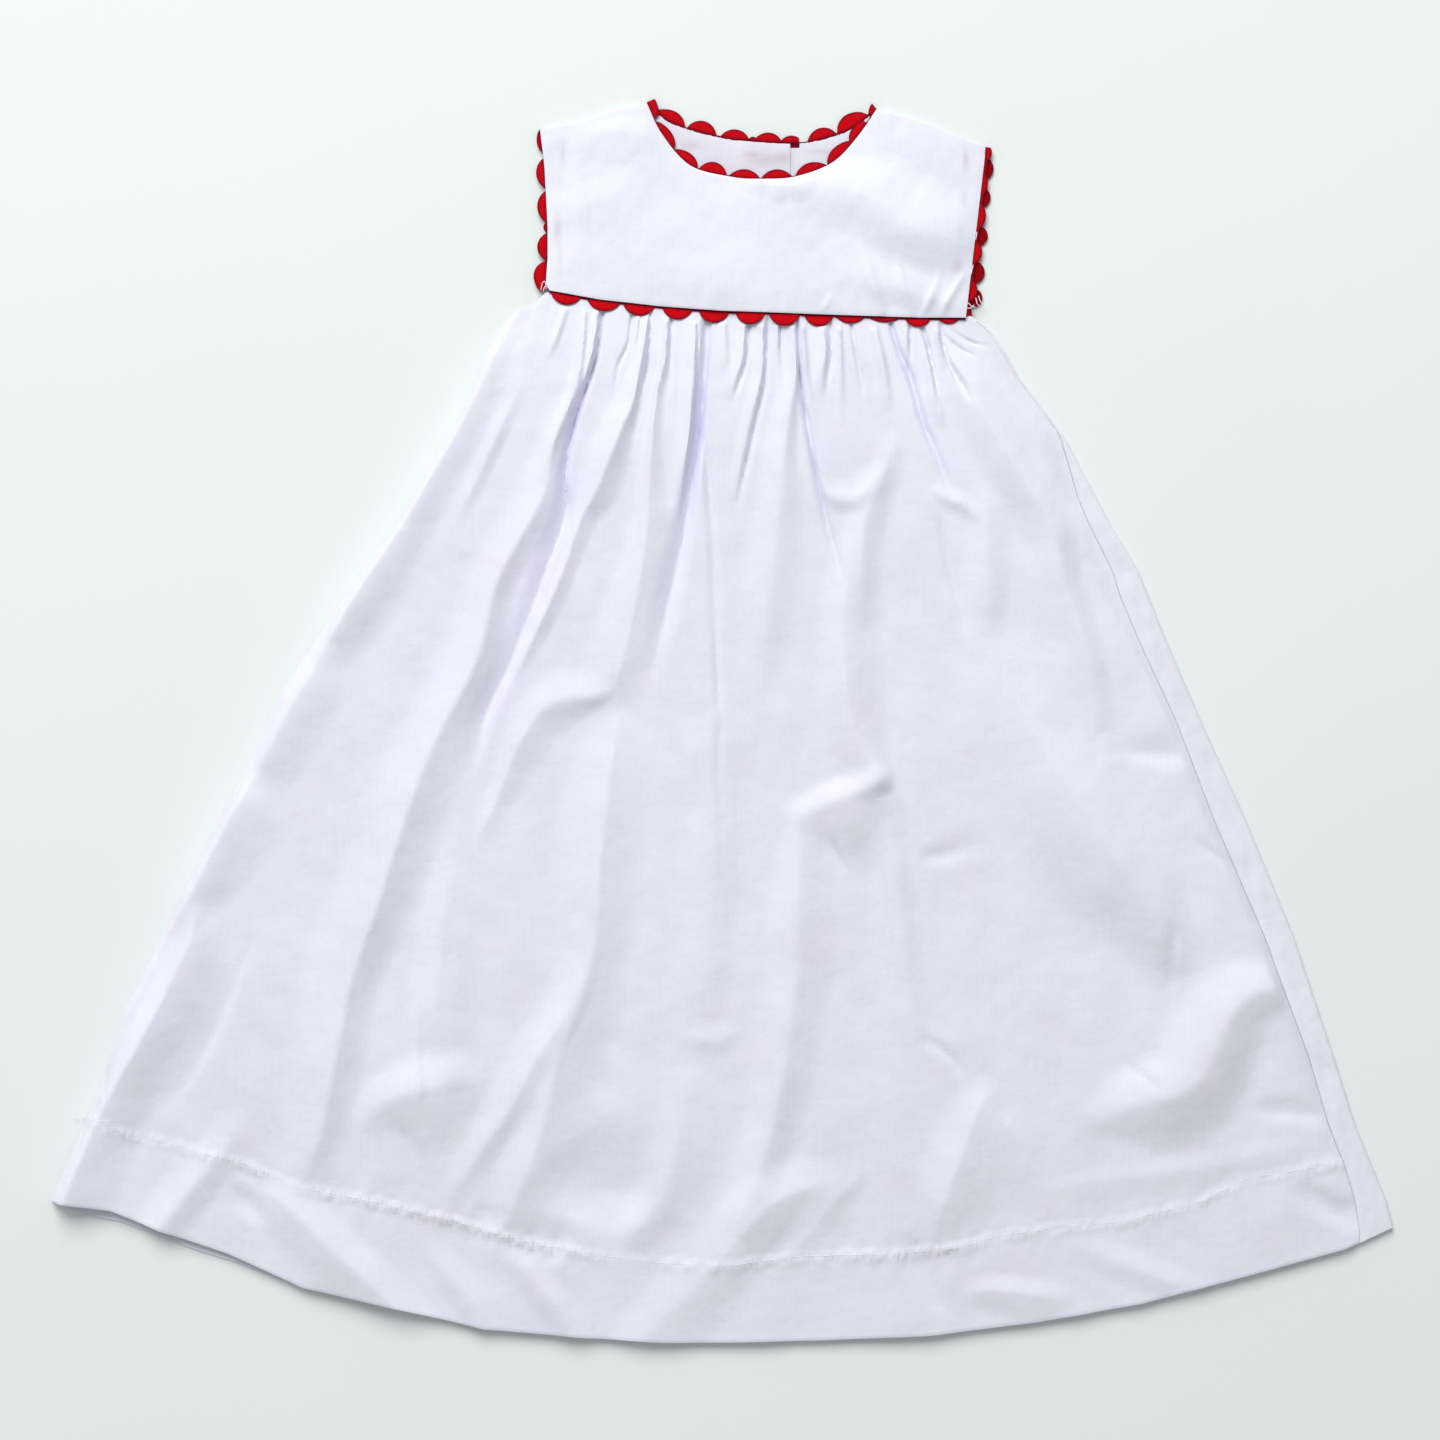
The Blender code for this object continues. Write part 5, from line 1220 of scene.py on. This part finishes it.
ricracShape = {
    "wall": 0.8,
    "thickness": 0.68,
    "hidden": 2.0,                # inside the seam
    "across": 12,
    "pathPoints": 600,
    "scallopPoints": 17,
    "closest": 0.05,              # two points along the trim
    "tangent": 1.5,
    "topEnd": 273.2,              # the shoulder's end of the neck trims
    "dome": 0.45,                 # share of the wall that the rim rolls off
    "dip": 0.3,                   # of the hidden edge, unless the trim has its own
    "dipOver": 0.8,
    "shade": 0.9,
    "rimShade": 0.75,
    "seamShade": 0.85,
    "floorLevel": 0.3,
    "inSeam": 0.3,
    "onSkirt": 0.1,
    "lapFrom": 5,
}

ricracs = {
    "ricracYokeSeam": {
        "node": "ricrac_yoke_seam", "on": "skirt", "path": yoke["seam"][::-1], "by": "x", "strip": [(0, 0.9)],
        "scallops": [
            (-75.0, -61.9, 4.0), (-59.0, -44.7, 4.0), (-43.3, -29.5, 4.2), (-26.1, -13.0, 4.2),
            (-10.1, 3.1, 4.5), (6.0, 18.8, 4.6), (20.6, 34.2, 4.8), (36.3, 48.8, 4.4),
            (50.1, 62.5, 2.6), (64.9, 77.7, 1.6), (80.4, 91.5, 3.2), (95.2, 103.8, 1.8),
        ],
    },
    "ricracNeckFront": {
        "node": "ricrac_neck_front", "on": "yoke", "path": yoke["frontNeck"], "by": "x", "strip": [(0, 0.5)],
        "scallops": [
            (-35.5, -30.0, 3.6), (-29.5, -21.5, 3.3), (-21.3, -10.8, 3.9), (-10.4, 2.0, 4.6),
            (3.1, 16.6, 3.7), (17.3, 30.9, 3.7), (32.3, 46.0, 3.8), (46.4, 57.8, 4.1),
            (57.2, 64.0, 3.7), (65.3, 72.0, 2.5),
        ],
    },
    "ricracNeckBackLeft": {
        "node": "ricrac_neck_back_left", "on": "lap", "path": yoke["backNeck"], "by": "x",
        "until": 34, "dip": 0.7,
        "strip": [(-32, 0.4), (-3, 0.5), (11, 0.7), (25, 1.2), (34, 0.8)],
        "scallops": [
            (-29.2, -16.4, 4.7), (-15.5, -2.6, 4.7), (-0.8, 11.8, 3.9), (11.6, 15.4, 1.2),
            (14.2, 26.0, 3.3), (26.0, 35.4, 2.4),
        ],
    },
    "ricracNeckBackRight": {
        "node": "ricrac_neck_back_right", "on": "floor", "path": yoke["backNeck"], "by": "x",
        "since": 14, "dip": 0.7,
        "strip": [(12, 0.1), (36, 0.3), (50, 0.8), (68, 0.9)],
        "scallops": [(23.0, 33.0, 1.0), (37.6, 50.4, 4.3), (50.8, 64.4, 5.6), (65.0, 73.0, 2.5)],
    },
    "ricracArmholeLeftFront": {
        "node": "ricrac_armhole_left_front", "on": "yoke", "path": yoke["leftArmhole"], "by": "y",
        "strip": [(189, 1.1), (230, 0.7), (236, 0.1), (260, 0.0)],
        "scallops": [
            (189.3, 202.0, 4.7), (202.6, 214.3, 3.7), (214.7, 219.2, 1.2), (219.0, 233.2, 3.7),
            (233.9, 247.4, 3.9), (249.2, 260.4, 2.2),
        ],
    },
    "ricracArmholeLeftBack": {
        "node": "ricrac_armhole_left_back", "on": "floor", "path": yoke["leftArmhole"], "by": "y",
        "strip": [(189, 0.8), (232, 0.5), (238, 0)],
        "scallops": [
            (190.5, 201.5, 3.6), (204.0, 213.5, 2.7), (221.0, 232.0, 2.7), (235.5, 246.0, 2.8),
            (250.5, 259.5, 1.5),
        ],
    },
    "ricracArmholeRightFront": {
        "node": "ricrac_armhole_right_front", "on": "yoke", "path": yoke["rightArmhole"], "by": "y",
        "strip": [(177, 3.6), (181, 3.0), (184, 2.0), (215, 1.9), (252, 1.7)],
        "scallops": [
            (246.5, 252.6, 1.4), (231.5, 240.0, 1.2), (216.0, 227.2, 2.2), (201.0, 210.8, 2.4),
            (184.6, 193.6, 2.4),
        ],
    },
    "ricracArmholeRightBack": {
        "node": "ricrac_armhole_right_back", "on": "floor", "path": yoke["rightArmhole"][:-1], "by": "y",
        "strip": [(180, 1.4), (252, 0.8)],
        "scallops": [
            (237.4, 248.2, 3.8), (225.4, 235.0, 4.0), (208.9, 218.0, 4.9), (192.2, 202.6, 5.2),
            (182.4, 190.5, 5.6),
        ],
    },
}


# Height of what a trim lies on
def ricracGround(on, x, far):
    if on == "skirt":
        slope = skirt["ricracSlope"] * np.maximum(far, 0)
        return skirt["onBack"] + lapLift(x) + skirt["frontWall"] + ricracShape["onSkirt"] + slope
    if on == "yoke":
        return skirt["onBack"] + lapSwell(x) + ricracShape["inSeam"]
    if on == "lap":
        onLap = softStep((x - ricracShape["lapFrom"]) / yoke["lapStep"])
        return ricracShape["floorLevel"] + yoke["lapRise"] * onLap
    return np.full_like(x, ricracShape["floorLevel"])


# Points along the trim: both ends, and enough on each scallop to make it round
def ricracPlaces(along, at, scallops):
    order = np.argsort(at)
    stops = {0.0, float(along[-1])}
    for start, end, _ in scallops:
        first, last = np.sort(np.interp([start, end], at[order], along[order]))
        stops.update(np.linspace(first, last, ricracShape["scallopPoints"]).tolist())
    places = np.array(sorted(stops))
    return places[np.concatenate([[True], np.diff(places) > ricracShape["closest"]])]


# Each scallop is a part of a circle
def scallopReach(at, scallops):
    shows = np.zeros_like(at)
    for start, end, height in scallops:
        half = (end - start) / 2
        part = np.clip(np.abs(at - (start + end) / 2), 0, half)
        circle = max((half ** 2 + height ** 2) / (2 * height), half)
        arc = np.sqrt(np.maximum(circle ** 2 - part ** 2, 0)) - (circle - height)
        shows = np.maximum(shows, np.where(part < half, np.maximum(arc, 0), 0))
    return shows


def makeRicrac(name, values, material):
    shape = ricracShape
    path = evenPath(smoothPath(values["path"], 10), shape["pathPoints"])
    path = path[(path[:, 0] <= values.get("until", np.inf)) & (path[:, 0] >= values.get("since", -np.inf))]
    axis = "xy".index(values["by"])
    along = alongPath(path)
    places = ricracPlaces(along, path[:, axis], values["scallops"])

    def onPath(stops):
        return np.stack([np.interp(stops, along, path[:, k]) for k in (0, 1)], axis=1)

    point = onPath(places)
    run = onPath(places + shape["tangent"]) - onPath(places - shape["tangent"])
    run /= np.hypot(*run.T)[:, None]
    at = point[:, axis]
    reach = lookUp(values["strip"], at) + scallopReach(at, values["scallops"])
    across = np.linspace(0, 1, shape["across"])[:, None]
    far = -shape["hidden"] + (reach + shape["hidden"]) * across
    x = point[:, 0] - run[:, 1] * far
    y = np.minimum(point[:, 1] + run[:, 0] * far, shape["topEnd"])
    dome = 1 - shape["dome"] * across ** 6
    dip = values.get("dip", shape["dip"]) * softStep(-far / shape["dipOver"])
    z = ricracGround(values["on"], x, far) + shape["wall"] * dome - dip
    z = np.maximum(z, shape["wall"])
    u = np.repeat(places[None, :], len(across), axis=0)
    piece = clothSheet(name, x, y, z, u, far, shape["thickness"])
    # Painted shade: darker at the rim of each scallop and along the seam under the cloth's edge
    fromRim = (reach + shape["hidden"]) * (1 - across)
    shaded = bell(fromRim, shape["rimShade"]) + bell(np.maximum(far, 0), shape["seamShade"])
    shaded = np.clip(shape["shade"] * shaded, 0, 1).ravel()
    px, py = pointsOf(piece)
    away = (px[:, None] - x.ravel()) ** 2 + (py[:, None] - y.ravel()) ** 2
    paint(piece, "edgeShade", shaded[np.argmin(away, axis=1)])
    dress(piece, material, "ricrac", values["node"])
    return piece


# Stitches

def stitchRow(name, path, material, values):
    bpy.ops.object.select_all(action="DESELECT")
    bpy.ops.mesh.primitive_uv_sphere_add(segments=6, ring_count=5, radius=0.5, rotation=(0, math.pi / 2, 0))
    piece = bpy.context.object
    piece.name = name
    piece.scale = (values["thick"] * mm, values["thick"] * mm, values["length"] * mm)
    bpy.ops.object.transform_apply(location=True, rotation=True, scale=True)
    bpy.ops.object.shade_smooth()
    length = alongPath(path[:, :2])[-1]
    row = piece.modifiers.new("row", "ARRAY")
    row.use_relative_offset = False
    row.use_constant_offset = True
    row.constant_offset_displace = (values["pitch"] * mm, 0, 0)
    row.count = int(length / values["pitch"])
    line = bpy.data.curves.new(name + "Line", "CURVE")
    line.dimensions = "3D"
    line.twist_mode = "Z_UP"
    spline = line.splines.new("POLY")
    spline.points.add(len(path) - 1)
    for spot, point in zip(spline.points, path):
        spot.co = (*[value * mm for value in point], 1)
    guide = bpy.data.objects.new(name + "Line", line)
    bpy.context.scene.collection.objects.link(guide)
    bend = piece.modifiers.new("bend", "CURVE")
    bend.object = guide
    bpy.context.view_layer.objects.active = piece
    bpy.ops.object.modifier_apply(modifier="row")
    bpy.ops.object.modifier_apply(modifier="bend")
    bpy.data.objects.remove(guide)
    dress(piece, material, "cotton")
    return piece


def makeHemStitches(material):
    x = np.linspace(stitching["from"], stitching["to"], stitching["points"])
    y = lookUp(skirt["stitchLine"], x)
    farBelowSeam = np.full_like(x, 400.0)
    z = skirtTop(x, y, farBelowSeam) + stitching["proud"]
    return stitchRow("hemStitches", np.stack([x, y, z], axis=1), material, stitching)


threadEnds = {
    "thick": 0.19,
    "height": 3.6,
    "arch": 0.5,                  # the middle of a thread stands this much higher
    "threads": [                  # x, y of each bend
        [(-79.6, 189.2), (-78.8, 192.3), (-77.6, 192.7), (-77.2, 189.6)],
        [(-78.6, 188.6), (-77.6, 190.8), (-76.2, 190.2)],
        [(106.6, 182.4), (108.0, 183.4), (109.6, 182.0), (111.2, 181.6)],
        [(107.0, 181.4), (109.0, 181.2), (110.6, 182.6)],
        [(111.4, 185.8), (112.0, 183.2), (113.4, 181.9)],
        [(112.6, 186.6), (113.4, 184.2), (114.9, 182.6)],
        [(111.9, 214.6), (111.4, 211.4)],
        [(110.2, 200.2), (109.4, 196.2)],
    ],
}


# Loose ends of the sewing thread at the foot of each armhole
def makeThreadEnds(material):
    curve = bpy.data.curves.new("threadEnds", "CURVE")
    curve.dimensions = "3D"
    curve.bevel_depth = threadEnds["thick"] * mm
    curve.bevel_resolution = 2
    for bends in threadEnds["threads"]:
        path = smoothPath(bends, 6)
        spline = curve.splines.new("POLY")
        spline.points.add(len(path) - 1)
        heights = threadEnds["height"] + threadEnds["arch"] * np.sin(np.linspace(0, math.pi, len(path)))
        for spot, (x, y), z in zip(spline.points, path, heights):
            spot.co = (x * mm, y * mm, z * mm, 1)
    piece = bpy.data.objects.new("threadEnds", curve)
    bpy.context.scene.collection.objects.link(piece)
    bpy.ops.object.select_all(action="DESELECT")
    piece.select_set(True)
    bpy.context.view_layer.objects.active = piece
    bpy.ops.object.convert(target="MESH")
    piece = bpy.context.object
    dress(piece, material, "cotton")
    return piece


weave = weaveGroup()
makeStudio()
print("studio ready")
skirtCloth = cottonFinish("white poplin", weave, cotton["single"])
yokeCloth = cottonFinish("white poplin, doubled", weave, 1, showThroughAndShade=True)
redBraid = braidFinish("red ric-rac", weave)
# A darker copy of the ric-rac finish: painted shade for the ric-rac in the back of the armholes
shadedBraid = braidFinish("red ric-rac, painted shade behind", weave, braid["behind"])
whiteThread = threadFinish()
frontSkirt = makeFrontSkirt(skirtCloth)
print("front skirt ready")
backSkirt = makeBackSkirt(skirtCloth)
print("back skirt ready")
frontYoke = makeFrontYoke(yokeCloth)
backYokes = makeBackYokes(yokeCloth)
print("yoke ready")
for ricracName, ricracValues in ricracs.items():
    behind = ricracName.endswith("Back")
    makeRicrac(ricracName, ricracValues, shadedBraid if behind else redBraid)
print("ric-rac ready")
hemStitches = makeHemStitches(whiteThread)
looseThreads = makeThreadEnds(whiteThread)
print("stitches ready")
